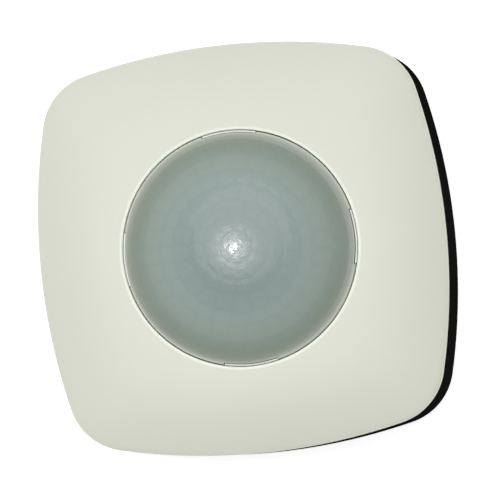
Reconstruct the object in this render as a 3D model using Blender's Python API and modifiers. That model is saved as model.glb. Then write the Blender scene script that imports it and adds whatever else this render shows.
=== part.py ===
"""Ceiling motion sensor: domed rounded-square cover, round lens dome and black rear housing.

Metres. The origin is the centre of the rear face, and +Z points out through the lens.
"""

import math

import bmesh
import bpy
from mathutils import Matrix, Vector

# Outline of the housing and cover: four shallow side arcs joined by corner arcs.
HALF_WIDTH = 0.060
SIDE_RADIUS = 0.181
CORNER_RADIUS = 0.018
SIDE_STEPS = 6
CORNER_STEPS = 6
# Clearance between pieces that touch.
GAP = 0.0003

# Rear housing.
HOUSING_INSET = 0.0003
HOUSING_HEIGHT = 0.0283
WALL = 0.0020
CHAMFER = 0.0009
CABLE_ENTRY_RADIUS = 0.0100
FIXING_SLOT = (0.0110, 0.0052)
FIXING_SLOT_X = 0.050
POST_AT = 0.040
POST_RADIUS = 0.0032
POST_TOP = 0.0211
BOSS_AT = (0.0375, 0.0305)
BOSS_RADIUS = 0.0026
KNOCKOUT_RADIUS = 0.0080
KNOCKOUT_Z = 0.0140
GROOVE = 0.0007

# Power board and what stands on it.
BOARD = 0.0016
POWER_BOARD_Z = 0.0046
POWER_BOARD_SIZE = (0.084, 0.070)
WIRE_HOLE_RADIUS = 0.0130
POWER_PARTS_Z = POWER_BOARD_Z + BOARD + GAP
TERMINAL_SIZE = (0.0280, 0.0105, 0.0085)
TERMINAL_AT = (0.0, -0.0265)
TERMINAL_PITCH = 0.0065
WAYS = 4
LINK_AT = (0.0, 0.0260)
LINK_PITCH = 0.00254
LINK_PINS = 6
LINK_PIN = 0.00064

# Sensor board and what stands on it.
SENSOR_BOARD_Z = 0.0172
SENSOR_BOARD_INSET = 0.0075
SENSOR_PARTS_Z = SENSOR_BOARD_Z + BOARD + GAP
PYRO_AT = 0.0115
PYRO_FLANGE = 0.0046
PYRO_CAN = 0.0041
PYRO_HEIGHT = 0.0045
WINDOW_SIZE = (0.0036, 0.0028, 0.0004)
GUIDE_AT = (0.0, 0.0210)
GUIDE_RADIUS = 0.0020
TRIMMER_X = -0.046
TRIMMER_STEP = 0.0130
DIAL_RADIUS = 0.0033
DIP_AT = (0.046, 0.0090)
DIP_PITCH = 0.00254
DIP_BODY = (0.0064, 0.0108, 0.0039)
BUTTON_AT = (0.046, -0.0110)
BOARD_BOSS_AT = 0.026

# Sensor carrier: the plate between the sensor board and the cover.
CARRIER_Z = 0.0214
CARRIER = 0.0020
CARRIER_INSET = 0.0047

# Lens and its ring.
OPENING_RADIUS = 0.03475
RING_Z = CARRIER_Z + CARRIER + GAP
RING_TOP = 0.0270
RING_INNER = 0.0310
LUG_INNER = 0.03385
LUG_OUTER = 0.03440
LUG_TOP = 0.0352
LUG_HALF_ANGLE = math.radians(13.25)
LENS_RADIUS = 0.0341
LENS_SKIRT = 0.0012
LENS_EDGE_Z = 0.0352
DOME_RADIUS = 0.0318
DOME_Z = 0.0364
LENS_TOP = 0.0460
LENS_WALL = 0.0010
NOTCH_RADIUS = 0.0335

# Front cover.
COVER_WALL = 0.0018
SKIRT_Z = HOUSING_HEIGHT + GAP
RIM_Z = 0.0307
CROWN_RISE = 0.0049
CROWN_POWER = 2.2
EDGE_INSET = 0.0009
COLLAR_Z = 0.0302
LIP = 0.00035
TONGUE_SIZE = (0.0012, 0.0100, 0.0096)
TONGUE_X = 0.0565
TONGUE_Z = 0.0208

PARTS = "motion_sensor"
CUTTERS = "cutters"
ROUND = 20

# Colour, roughness and metallic value of each finish.
FINISHES = {
    "ivory_plastic": ((0.76, 0.77, 0.69), 0.35, 0.0),
    "white_plastic": ((0.80, 0.80, 0.78), 0.40, 0.0),
    "black_plastic": ((0.012, 0.012, 0.012), 0.45, 0.0),
    "lens_plastic": ((0.42, 0.50, 0.47), 0.35, 0.0),
    "black_rubber": ((0.020, 0.020, 0.020), 0.80, 0.0),
    "circuit_board": ((0.015, 0.120, 0.050), 0.45, 0.0),
    "orange_plastic": ((0.80, 0.22, 0.03), 0.40, 0.0),
    "blue_plastic": ((0.04, 0.13, 0.45), 0.40, 0.0),
    "yellow_plastic": ((0.75, 0.52, 0.05), 0.45, 0.0),
    "clear_plastic": ((0.85, 0.90, 0.88), 0.10, 0.0),
    "dark_glass": ((0.03, 0.03, 0.04), 0.10, 0.0),
    "tinned_metal": ((0.70, 0.70, 0.68), 0.30, 1.0),
    "steel": ((0.56, 0.57, 0.58), 0.30, 1.0),
}


def finish(name):
    """The Principled material of one finish, made when it is first asked for."""
    found = bpy.data.materials.get(name)
    if found:
        return found
    colour, roughness, metallic = FINISHES[name]
    made = bpy.data.materials.new(name)
    made.use_nodes = True
    shader = made.node_tree.nodes["Principled BSDF"]
    shader.inputs["Base Color"].default_value = (*colour, 1)
    shader.inputs["Roughness"].default_value = roughness
    shader.inputs["Metallic"].default_value = metallic
    return made


# --- Making, cutting and joining shapes ---


def add(name, data, look):
    """A named object of the detector with one finish."""
    obj = bpy.data.objects.new(name, data)
    data.materials.append(finish(look))
    bpy.data.collections[PARTS].objects.link(obj)
    return obj


def helper(obj):
    """Turns an object into a cutter or an addition: it shapes another and isn't a piece."""
    bpy.data.collections[PARTS].objects.unlink(obj)
    bpy.data.collections[CUTTERS].objects.link(obj)
    obj.hide_render = True
    obj.display_type = "WIRE"
    return obj


def reshape(obj, other, operation):
    """Cuts the other shape from the object (DIFFERENCE) or joins it on (UNION)."""
    modifier = obj.modifiers.new(other.name, "BOOLEAN")
    modifier.operation = operation
    modifier.object = other
    return obj


def mesh_from(bm, name):
    mesh = bpy.data.meshes.new(name)
    bm.to_mesh(mesh)
    bm.free()
    return mesh


def box(name, size, centre, look, bevel=0.0):
    """A block given by its size and its centre, with slightly rounded edges if asked."""
    bm = bmesh.new()
    bmesh.ops.create_cube(bm, size=1, matrix=Matrix.Diagonal((*size, 1)))
    obj = add(name, mesh_from(bm, name), look)
    obj.location = centre
    if bevel:
        edges = obj.modifiers.new("edges", "BEVEL")
        edges.width = bevel
        edges.segments = 1
    return obj


def standing(name, size, place, low, look, bevel=0.0):
    """A block that stands at the height low, at the place (x, y)."""
    return box(name, size, (*place, low + size[2] / 2), look, bevel)


def cylinders(name, places, radius, low, high, look, steps=ROUND):
    """Upright cylinders at the (x, y) places, all in one mesh."""
    bm = bmesh.new()
    for x, y in places:
        bmesh.ops.create_cone(
            bm, cap_ends=True, segments=steps, radius1=radius, radius2=radius,
            depth=high - low, matrix=Matrix.Translation((x, y, (low + high) / 2)),
        )
    obj = add(name, mesh_from(bm, name), look)
    obj.data.shade_smooth()
    obj.data.set_sharp_from_angle(angle=math.radians(40))
    return obj


def blocks(name, size, places, low, look):
    """Equal upright blocks at the (x, y) places, all in one mesh."""
    bm = bmesh.new()
    for x, y in places:
        centre = Matrix.Translation((x, y, low + size[2] / 2))
        bmesh.ops.create_cube(bm, size=1, matrix=centre @ Matrix.Diagonal((*size, 1)))
    return add(name, mesh_from(bm, name), look)


def turned(name, profile, look, closed=False, steps=ROUND, place=(0, 0, 0)):
    """A round piece: the (radius, height) profile runs down its outer side and turns about Z."""
    bm = bmesh.new()
    points = [bm.verts.new((radius, 0, height)) for radius, height in profile]
    for first, second in zip(points, points[1:] + points[:1] if closed else points[1:]):
        bm.edges.new((first, second))
    obj = add(name, mesh_from(bm, name), look)
    obj.location = place
    screw = obj.modifiers.new("turn", "SCREW")
    screw.steps = screw.render_steps = steps
    screw.use_merge_vertices = True
    screw.merge_threshold = 0.00001
    screw.use_smooth_shade = True
    return obj


def plate(name, loops, low, high, look):
    """A flat piece between two heights: closed outlines, with any outline inside another a hole."""
    curve = bpy.data.curves.new(name, "CURVE")
    curve.dimensions = "2D"
    curve.fill_mode = "BOTH"
    curve.extrude = (high - low) / 2
    for loop in loops:
        spline = curve.splines.new("POLY")
        spline.points.add(len(loop) - 1)
        for point, (x, y) in zip(spline.points, loop):
            point.co = (x, y, 0, 1)
        spline.use_cyclic_u = True
    obj = add(name, curve, look)
    obj.location.z = (low + high) / 2
    return obj


def as_mesh(obj):
    """The same piece as one closed mesh, so that it can be cut, joined or copied."""
    name = obj.name
    look = obj.data.materials[0].name
    bpy.context.view_layer.update()
    evaluated = obj.evaluated_get(bpy.context.evaluated_depsgraph_get())
    mesh = bpy.data.meshes.new_from_object(evaluated)
    bm = bmesh.new()
    bm.from_mesh(mesh)
    bmesh.ops.remove_doubles(bm, verts=bm.verts, dist=0.000001)
    bm.to_mesh(mesh)
    bm.free()
    mesh.materials.clear()
    place = obj.matrix_world.copy()
    bpy.data.objects.remove(obj)
    solid = add(name, mesh, look)
    solid.matrix_world = place
    return solid


def copies(first, places):
    """Further objects that share the first one's mesh, numbered on from it."""
    stem = first.name.rsplit("_", 1)[0]
    for number, place in enumerate(places, start=2):
        other = bpy.data.objects.new(f"{stem}_{number}", first.data)
        other.location = place
        bpy.data.collections[PARTS].objects.link(other)


def circle(radius, centre=(0, 0), steps=ROUND):
    turns = [2 * math.pi * step / steps for step in range(steps)]
    return [(centre[0] + radius * math.cos(a), centre[1] + radius * math.sin(a)) for a in turns]


def rectangle(size, centre=(0, 0)):
    x, y = size[0] / 2, size[1] / 2
    return [(centre[0] + i * x, centre[1] + j * y) for i, j in ((-1, -1), (1, -1), (1, 1), (-1, 1))]


def slot_outline(size, centre, end_steps=8):
    """A slot along X with round ends."""
    radius = size[1] / 2
    reach = size[0] / 2 - radius
    points = []
    for side in (1, -1):
        for step in range(end_steps + 1):
            angle = math.pi * (step / end_steps - 0.5)
            x = side * (reach + radius * math.cos(angle))
            points.append((centre[0] + x, centre[1] + side * radius * math.sin(angle)))
    return points


def corner_centre():
    """How far along X and Y a corner arc's centre lies, where it meets the side arcs smoothly."""
    shift = SIDE_RADIUS - HALF_WIDTH
    reach = SIDE_RADIUS - CORNER_RADIUS
    return (math.sqrt(2 * reach**2 - shift**2) - shift) / 2


def pillow(inset):
    """The rounded-square outline, moved inwards by inset, anticlockwise."""
    shift = SIDE_RADIUS - HALF_WIDTH
    corner = corner_centre()
    meet = math.atan2(corner, corner + shift)
    arcs = (
        (Vector((-shift, 0)), SIDE_RADIUS - inset, -meet, meet, SIDE_STEPS),
        (Vector((corner, corner)), CORNER_RADIUS - inset, meet, math.pi / 2 - meet, CORNER_STEPS),
    )
    points = []
    for quarter in range(4):
        turn = Matrix.Rotation(quarter * math.pi / 2, 2)
        for centre, radius, start, end, steps in arcs:
            for step in range(steps):
                angle = start + (end - start) * step / steps
                points.append(turn @ (centre + radius * Vector((math.cos(angle), math.sin(angle)))))
    return points


def loft(name, rings, look, tube=False):
    """A skin over rings of equally many points, each ring (points, height).

    A tube's last ring meets its first. Otherwise both end rings are filled.
    """
    bm = bmesh.new()
    rows = [[bm.verts.new((x, y, height)) for x, y in points] for points, height in rings]
    pairs = list(zip(rows, rows[1:]))
    if tube:
        pairs.append((rows[-1], rows[0]))
    for row, following in pairs:
        for i in range(len(row)):
            bm.faces.new((row[i - 1], row[i], following[i], following[i - 1]))
    if not tube:
        bm.faces.new(rows[0])
        bm.faces.new(rows[-1])
    bmesh.ops.recalc_face_normals(bm, faces=bm.faces)
    obj = add(name, mesh_from(bm, name), look)
    obj.data.shade_smooth()
    obj.data.set_sharp_from_angle(angle=math.radians(40))
    return obj


def corners(x, y=None):
    """The four (x, y) places that mirror each other about both axes."""
    y = x if y is None else y
    return [(x, y), (-x, y), (-x, -y), (x, -y)]


def screws(name, head_radius, shank_radius, length, places, seat, turn_over=False):
    """Equal pan-head screws with a cross recess, whose heads sit at the height seat."""
    head = 0.6 * head_radius
    profile = [
        (0, head), (0.55 * head_radius, head), (0.9 * head_radius, 0.7 * head),
        (head_radius, 0.35 * head), (head_radius, 0), (shank_radius, 0),
        (shank_radius, 0.9 * -length), (0.4 * shank_radius, -length), (0, -length),
    ]
    first = turned(f"{name}_1", profile, "steel", steps=10)
    recess = blocks(f"{name}_recess", (head_radius, 0.2 * head_radius, head), [(0, 0)], 0.45 * head, "steel")
    across = blocks(f"{name}_across", (0.2 * head_radius, head_radius, head), [(0, 0)], 0.45 * head, "steel")
    reshape(first, helper(recess), "DIFFERENCE")
    reshape(first, helper(across), "DIFFERENCE")
    first = as_mesh(first)
    if turn_over:
        first.data.transform(Matrix.Rotation(math.pi, 4, "X"))
    first.location = (*places[0], seat)
    copies(first, [(*place, seat) for place in places[1:]])


# --- Rear housing ---


def rear_housing():
    """A black tray: chamfered floor and wall, posts for the carrier and bosses for the power board."""
    outline = pillow(HOUSING_INSET)
    rings = [
        (pillow(HOUSING_INSET + CHAMFER), 0),
        (outline, CHAMFER),
        (outline, HOUSING_HEIGHT),
        (pillow(HOUSING_INSET + WALL), HOUSING_HEIGHT),
        (pillow(HOUSING_INSET + WALL), WALL),
    ]
    housing = loft("rear_housing", rings, "black_plastic")

    foot = WALL / 2
    posts = cylinders("posts", corners(POST_AT), POST_RADIUS, foot, POST_TOP, "black_plastic", 16)
    bosses = cylinders(
        "bosses", corners(*BOSS_AT), BOSS_RADIUS, foot, POWER_BOARD_Z - GAP, "black_plastic", 16
    )
    reshape(housing, helper(posts), "UNION")
    reshape(housing, helper(bosses), "UNION")

    pilots = cylinders("post_pilots", corners(POST_AT), 0.0017, 0.009, 0.03, "black_plastic", 12)
    reshape(housing, helper(pilots), "DIFFERENCE")
    low_pilots = cylinders("boss_pilots", corners(*BOSS_AT), 0.0014, 0.0008, 0.006, "black_plastic", 12)
    reshape(housing, helper(low_pilots), "DIFFERENCE")
    entry = cylinders("cable_entry", [(0, 0)], CABLE_ENTRY_RADIUS, -0.002, 0.004, "black_plastic")
    reshape(housing, helper(entry), "DIFFERENCE")
    loops = [slot_outline(FIXING_SLOT, (side * FIXING_SLOT_X, 0)) for side in (1, -1)]
    slots = as_mesh(plate("fixing_slots", loops, -0.002, 0.004, "black_plastic"))
    reshape(housing, helper(slots), "DIFFERENCE")

    for side in (1, -1):
        loops = [circle(KNOCKOUT_RADIUS), circle(KNOCKOUT_RADIUS - GROOVE)]
        groove = as_mesh(plate(f"knockout_groove_{side}", loops, -GROOVE, GROOVE, "black_plastic"))
        groove.rotation_euler.x = math.pi / 2
        groove.location = (0, side * (HALF_WIDTH - HOUSING_INSET), KNOCKOUT_Z)
        reshape(housing, helper(groove), "DIFFERENCE")
    notch = box("pry_notch", (0.010, 0.0016, 0.002), (0, HOUSING_INSET - HALF_WIDTH, HOUSING_HEIGHT), "black_plastic")
    reshape(housing, helper(notch), "DIFFERENCE")


def cable_grommet():
    """A rubber grommet: a neck in the cable entry, a flange on the floor and a tapered spout."""
    neck = CABLE_ENTRY_RADIUS - GAP
    seat = WALL + GAP
    profile = [
        (0.0050, 0.0075), (0.0066, 0.0042), (0.0120, 0.0040), (0.0120, seat), (neck, seat),
        (neck, 0.0002), (0.0048, 0.0002), (0.0041, 0.0075),
    ]
    turned("cable_grommet", profile, "black_rubber", closed=True)


# --- Power board ---


def power_board():
    """The mains board, with a hole round the cable entry for the wires."""
    holes = [circle(0.0014, place, 12) for place in corners(*BOSS_AT)]
    loops = [rectangle(POWER_BOARD_SIZE), circle(WIRE_HOLE_RADIUS), *holes]
    plate("power_board", loops, POWER_BOARD_Z, POWER_BOARD_Z + BOARD, "circuit_board")
    screws("power_board_screw", 0.0022, 0.0010, 0.0048, corners(*BOSS_AT), POWER_PARTS_Z)


def terminal_block():
    """Four push-in terminals: wires enter from the cable side, and a button over each frees its wire."""
    x0, y0 = TERMINAL_AT
    width, depth, height = TERMINAL_SIZE
    ways = [x0 + TERMINAL_PITCH * (i - (WAYS - 1) / 2) for i in range(WAYS)]
    block = standing("terminal_block", TERMINAL_SIZE, TERMINAL_AT, POWER_PARTS_Z, "white_plastic")
    pockets = blocks(
        "button_pockets", (0.0038, 0.0038, 0.01), [(x, y0 - 0.0018) for x in ways],
        POWER_PARTS_Z + 0.0046, "white_plastic",
    )
    reshape(block, helper(pockets), "DIFFERENCE")
    entries = cylinders(
        "wire_entries", [(x - x0, 0) for x in ways], 0.0014, -0.004, 0.004, "white_plastic", 12
    )
    entries.rotation_euler.x = math.pi / 2
    entries.location = (x0, y0 + depth / 2, POWER_PARTS_Z + 0.0026)
    reshape(block, helper(entries), "DIFFERENCE")
    for number, x in enumerate(ways, start=1):
        standing(
            f"terminal_release_button_{number}", (0.0032, 0.0032, 0.0034), (x, y0 - 0.0018),
            POWER_PARTS_Z + height - 0.0024, "orange_plastic", 0.0002,
        )


def power_parts():
    """The relay, the supply's transformer and capacitors, the fuse and the varistor."""
    low = POWER_PARTS_Z
    standing("relay", (0.0104, 0.0200, 0.0098), (-0.027, -0.014), low, "black_plastic", 0.0004)
    standing("transformer", (0.0150, 0.0170, 0.0100), (0.028, -0.012), low, "yellow_plastic", 0.0006)
    standing("mains_capacitor", (0.0180, 0.0080, 0.0095), (0.026, 0.010), low, "blue_plastic", 0.0004)
    can = [
        (0, 0.0100), (0.0044, 0.0100), (0.0050, 0.0095), (0.0050, 0.0020), (0.0047, 0.0016),
        (0.0047, 0.0012), (0.0050, 0.0008), (0.0050, 0), (0, 0),
    ]
    turned("smoothing_capacitor", can, "tinned_metal", place=(-0.027, 0.008, low))
    cap = [(0, 0.0080), (0.0037, 0.0080), (0.0041, 0.0076), (0.0041, 0), (0, 0)]
    turned("fuse", cap, "black_plastic", place=(-0.015, 0.024, low))
    disc = [(0, 0.0018), (0.0036, 0.0018), (0.0045, 0.0010), (0.0045, -0.0010), (0.0036, -0.0018), (0, -0.0018)]
    varistor = turned("varistor", disc, "blue_plastic", place=(-0.034, 0.020, low + 0.0046))
    varistor.rotation_euler.y = math.pi / 2


def board_link():
    """Pins on the power board that plug into a socket under the sensor board."""
    x0, y0 = LINK_AT
    length = LINK_PITCH * LINK_PINS
    places = [(x0 + LINK_PITCH * (i - (LINK_PINS - 1) / 2), y0) for i in range(LINK_PINS)]
    header = standing("link_header", (length, 0.0025, 0.0025), LINK_AT, POWER_PARTS_Z, "black_plastic")
    pins = blocks("pins", (LINK_PIN, LINK_PIN, 0.0070), places, POWER_PARTS_Z + 0.0015, "tinned_metal")
    reshape(header, helper(pins), "UNION")
    size = (length + 0.0006, 0.0050, 0.0056)
    socket = standing("link_socket", size, LINK_AT, SENSOR_BOARD_Z - GAP - size[2], "black_plastic")
    wells = blocks("pin_wells", (0.0013, 0.0013, 0.0050), places, SENSOR_BOARD_Z - 0.0068, "black_plastic")
    reshape(socket, helper(wells), "DIFFERENCE")


# --- Sensor board ---


def sensor_board():
    """The upper board, with holes for the housing's posts, and two screws into the carrier."""
    posts = [circle(POST_RADIUS + 0.001, place, 16) for place in corners(POST_AT)]
    places = [(-BOARD_BOSS_AT, BOARD_BOSS_AT), (BOARD_BOSS_AT, -BOARD_BOSS_AT)]
    fixings = [circle(0.0014, place, 12) for place in places]
    loops = [pillow(SENSOR_BOARD_INSET), *posts, *fixings]
    plate("sensor_board", loops, SENSOR_BOARD_Z, SENSOR_BOARD_Z + BOARD, "circuit_board")
    screws("sensor_board_screw", 0.0022, 0.0010, 0.0045, places, SENSOR_BOARD_Z - GAP, turn_over=True)


def pyro_sensors():
    """Four infrared sensors in metal cans, each with a filter window let into its top."""
    profile = [
        (0, PYRO_HEIGHT), (PYRO_CAN - 0.0004, PYRO_HEIGHT), (PYRO_CAN, PYRO_HEIGHT - 0.0004),
        (PYRO_CAN, 0.0006), (PYRO_FLANGE, 0.0005), (PYRO_FLANGE, 0), (0, 0),
    ]
    can = turned("pyro_sensor_1", profile, "tinned_metal")
    length, width, thick = WINDOW_SIZE
    pocket_size = (length + 2 * GAP, width + 2 * GAP, 0.002)
    pocket = blocks("window_pocket", pocket_size, [(0, 0)], PYRO_HEIGHT - thick - GAP, "tinned_metal")
    reshape(can, helper(pocket), "DIFFERENCE")
    can = as_mesh(can)
    places = corners(PYRO_AT)
    can.location = (*places[0], SENSOR_PARTS_Z)
    copies(can, [(*place, SENSOR_PARTS_Z) for place in places[1:]])
    top = SENSOR_PARTS_Z + PYRO_HEIGHT - thick
    for number, place in enumerate(places, start=1):
        standing(f"pyro_window_{number}", WINDOW_SIZE, place, top, "dark_glass")


def board_lights():
    """The status light at the centre, and the daylight sensor with its clear light guide."""
    dome = [(0, 0.0034), (0.0008, 0.0031), (0.0014, 0.0022), (0.0015, 0.0012), (0.0015, 0), (0, 0)]
    turned("status_led", dome, "clear_plastic", steps=12, place=(0, 0, SENSOR_PARTS_Z))
    standing("light_sensor", (0.0032, 0.0026, 0.0010), GUIDE_AT, SENSOR_PARTS_Z, "dark_glass")
    base = SENSOR_PARTS_Z + 0.0010 + GAP
    rod = [(0, 0.0040), (0.0012, 0.0038), (GUIDE_RADIUS, 0.0030), (GUIDE_RADIUS, 0), (0, 0)]
    turned("light_guide", rod, "clear_plastic", steps=16, place=(*GUIDE_AT, base))
    standing("control_chip", (0.0070, 0.0070, 0.0010), (0, -0.024), SENSOR_PARTS_Z, "black_plastic")


def trimmers():
    """Three setting trimmers for time, light level and range, each turned by a slotted dial."""
    dial_low = SENSOR_PARTS_Z + 0.0020 + GAP
    height = 0.0034
    rim = DIAL_RADIUS - 0.0003
    profile = [(0, height), (rim, height), (DIAL_RADIUS, height - 0.0003), (DIAL_RADIUS, 0), (0, 0)]
    for row, name in enumerate(("time", "light", "range")):
        place = (TRIMMER_X, TRIMMER_STEP * (1 - row))
        standing(f"{name}_trimmer", (0.0080, 0.0080, 0.0020), place, SENSOR_PARTS_Z, "blue_plastic")
        dial = turned(f"{name}_dial", profile, "white_plastic", place=(*place, dial_low))
        slot = blocks(f"{name}_slot", (0.0042, 0.0009, 0.002), [(0, 0)], height - 0.0012, "white_plastic")
        slot.location = dial.location
        arrow = blocks(f"{name}_arrow", (0.0009, 0.0018, 0.002), [(0, 0.0021)], height - 0.0008, "white_plastic")
        arrow.location = dial.location
        reshape(dial, helper(slot), "DIFFERENCE")
        reshape(dial, helper(arrow), "DIFFERENCE")


def dip_switch():
    """A bank of four small slide switches."""
    body = standing("dip_switch", DIP_BODY, DIP_AT, SENSOR_PARTS_Z, "blue_plastic")
    top = SENSOR_PARTS_Z + DIP_BODY[2]
    places = [(DIP_AT[0], DIP_AT[1] + DIP_PITCH * (i - (WAYS - 1) / 2)) for i in range(WAYS)]
    tracks = blocks("slider_tracks", (0.0040, 0.0015, 0.002), places, top - 0.0011, "blue_plastic")
    reshape(body, helper(tracks), "DIFFERENCE")
    for number, (x, y) in enumerate(places, start=1):
        place = (x - 0.0010, y)
        standing(f"dip_slider_{number}", (0.0013, 0.0009, 0.0015), place, top - 0.0008, "white_plastic")


def programming_button():
    """A push switch and the plunger that presses it."""
    height = 0.0033
    switch = standing("button_switch", (0.0062, 0.0062, height), BUTTON_AT, SENSOR_PARTS_Z, "black_plastic", 0.0003)
    well = cylinders(
        "button_well", [BUTTON_AT], 0.0021, SENSOR_PARTS_Z + 0.0019, SENSOR_PARTS_Z + 0.006, "black_plastic", 16
    )
    reshape(switch, helper(well), "DIFFERENCE")
    plunger = [(0, 0.0030), (0.0014, 0.0030), (0.0017, 0.0027), (0.0017, 0), (0, 0)]
    base = SENSOR_PARTS_Z + 0.0027
    turned("programming_button", plunger, "orange_plastic", steps=16, place=(*BUTTON_AT, base))


# --- Sensor carrier ---


def sensor_carrier():
    """The inner frame: a plate with holes for the sensors and settings, and bosses for the board."""
    top = CARRIER_Z + CARRIER
    trims = [(TRIMMER_X, TRIMMER_STEP * (1 - row)) for row in range(3)]
    loops = [
        pillow(CARRIER_INSET),
        circle(0.0020, steps=12),
        circle(GUIDE_RADIUS + 0.0004, GUIDE_AT, 16),
        rectangle((DIP_BODY[0] + 0.001, DIP_BODY[1] + 0.001), DIP_AT),
        rectangle((0.0072, 0.0072), BUTTON_AT),
        *[circle(PYRO_FLANGE + 0.0004, place) for place in corners(PYRO_AT)],
        *[circle(DIAL_RADIUS + 0.0006, place) for place in trims],
        *[circle(0.0017, place, 12) for place in corners(POST_AT)],
    ]
    carrier = as_mesh(plate("sensor_carrier", loops, CARRIER_Z, top, "black_plastic"))
    bosses = cylinders(
        "carrier_bosses", corners(BOARD_BOSS_AT), 0.0028, SENSOR_PARTS_Z, CARRIER_Z + 0.001,
        "black_plastic", 16,
    )
    reshape(carrier, helper(bosses), "UNION")
    pilots = cylinders(
        "carrier_pilots", corners(BOARD_BOSS_AT), 0.0014, SENSOR_PARTS_Z - 0.001, top - 0.0008,
        "black_plastic", 12,
    )
    reshape(carrier, helper(pilots), "DIFFERENCE")
    screws("carrier_screw", 0.0029, 0.0013, 0.0100, corners(POST_AT), top + GAP)


# --- Lens, its ring and the cover ---


def arc_blocks(name, inner, outer, half_angle, low, high, look, steps=6):
    """Four upright arc-shaped blocks, one at the middle of each side."""
    loops = []
    for quarter in range(4):
        middle = quarter * math.pi / 2
        turns = [middle + half_angle * (2 * step / steps - 1) for step in range(steps + 1)]
        outside = [(outer * math.cos(a), outer * math.sin(a)) for a in turns]
        inside = [(inner * math.cos(a), inner * math.sin(a)) for a in reversed(turns)]
        loops.append(outside + inside)
    return as_mesh(plate(name, loops, low, high, look))


def lens_ring():
    """A white ring on the carrier, with four thin lugs that rise round the lens."""
    ring = as_mesh(plate(
        "lens_ring", [circle(LUG_OUTER - 0.0001, steps=48), circle(RING_INNER, steps=48)],
        RING_Z, RING_TOP, "white_plastic",
    ))
    lugs = arc_blocks(
        "lugs", LUG_INNER, LUG_OUTER, LUG_HALF_ANGLE, RING_TOP - 0.001, LUG_TOP, "white_plastic"
    )
    reshape(ring, helper(lugs), "UNION")


def dome_profile(radius, low, high, steps):
    """Points from the top of a spherical cap down to its edge at the given radius and height."""
    rise = high - low
    ball = (radius**2 + rise**2) / (2 * rise)
    half_angle = math.asin(radius / ball)
    turns = [half_angle * step / steps for step in range(steps + 1)]
    return [(ball * math.sin(a), high - ball + ball * math.cos(a)) for a in turns]


def lens():
    """A thin translucent dome with a plain rim and a skirt, notched where the ring's lugs pass."""
    skirt_low = RING_TOP + GAP
    inner = LENS_RADIUS - LENS_SKIRT
    outside = dome_profile(DOME_RADIUS, DOME_Z, LENS_TOP, 7)
    outside += [(0.0335, LENS_EDGE_Z + 0.0004), (LENS_RADIUS, LENS_EDGE_Z - 0.0004), (LENS_RADIUS, skirt_low)]
    inside = dome_profile(DOME_RADIUS - LENS_WALL, DOME_Z - LENS_WALL, LENS_TOP - LENS_WALL, 5)
    inside += [(inner, LENS_EDGE_Z - LENS_WALL), (inner, skirt_low)]
    shell = turned("lens", outside + inside[::-1], "lens_plastic", steps=48)
    notches = arc_blocks(
        "lens_notches", NOTCH_RADIUS, LENS_RADIUS + 0.002, LUG_HALF_ANGLE + 0.015,
        skirt_low - 0.002, LENS_EDGE_Z + 0.004, "lens_plastic", 6,
    )
    reshape(shell, helper(notches), "DIFFERENCE")


def cover_ring(share):
    """A ring of points between the round opening (share 0) and the cover's edge (share 1)."""
    edge = pillow(EDGE_INSET)
    return [point.normalized() * OPENING_RADIUS * (1 - share) + point * share for point in edge]


def round_ring(radius):
    """A ring of points on a circle, one for each point of the outline."""
    return [point.normalized() * radius for point in pillow(EDGE_INSET)]


def crown(share):
    """Height of the cover's outer face between the opening and the edge."""
    return RIM_Z + CROWN_RISE * (1 - share**CROWN_POWER)


def front_cover():
    """A domed cover with a collar round the opening, a rolled edge and four clip tongues."""
    shares = (0.2, 0.4, 0.6, 0.8, 0.92)
    lip_top = crown(0)
    outer = [
        (round_ring(OPENING_RADIUS), COLLAR_Z),
        (round_ring(OPENING_RADIUS), lip_top - LIP),
        (round_ring(OPENING_RADIUS + LIP), lip_top),
        *[(cover_ring(share), crown(share)) for share in shares],
        (pillow(EDGE_INSET), RIM_Z),
        (pillow(EDGE_INSET / 4), RIM_Z - 0.0006),
        (pillow(0), RIM_Z - 0.0013),
        (pillow(0), SKIRT_Z),
    ]
    under = [
        (pillow(COVER_WALL), SKIRT_Z),
        (pillow(COVER_WALL), SKIRT_Z + 0.0002),
        *[(cover_ring(share), crown(share) - COVER_WALL) for share in shares[::-1]],
        (round_ring(OPENING_RADIUS + COVER_WALL), lip_top - COVER_WALL),
        (round_ring(OPENING_RADIUS + COVER_WALL), COLLAR_Z),
    ]
    cover = loft("front_cover", outer + under, "ivory_plastic", tube=True)
    bm = bmesh.new()
    for quarter in range(4):
        turn = Matrix.Rotation(quarter * math.pi / 2, 4, "Z")
        place = turn @ Matrix.Translation((TONGUE_X, 0, TONGUE_Z + TONGUE_SIZE[2] / 2))
        bmesh.ops.create_cube(bm, size=1, matrix=place @ Matrix.Diagonal((*TONGUE_SIZE, 1)))
    tongues = add("tongues", mesh_from(bm, "tongues"), "ivory_plastic")
    reshape(cover, helper(tongues), "UNION")


def main():
    for obj in list(bpy.data.objects):
        bpy.data.objects.remove(obj)
    for name in (PARTS, CUTTERS):
        bpy.context.scene.collection.children.link(bpy.data.collections.new(name))
    rear_housing()
    cable_grommet()
    power_board()
    terminal_block()
    power_parts()
    board_link()
    sensor_board()
    pyro_sensors()
    board_lights()
    trimmers()
    dip_switch()
    programming_button()
    sensor_carrier()
    lens_ring()
    lens()
    front_cover()


main()
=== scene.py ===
import math

import bmesh
import bpy
import numpy as np
from mathutils import Matrix, Vector


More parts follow.
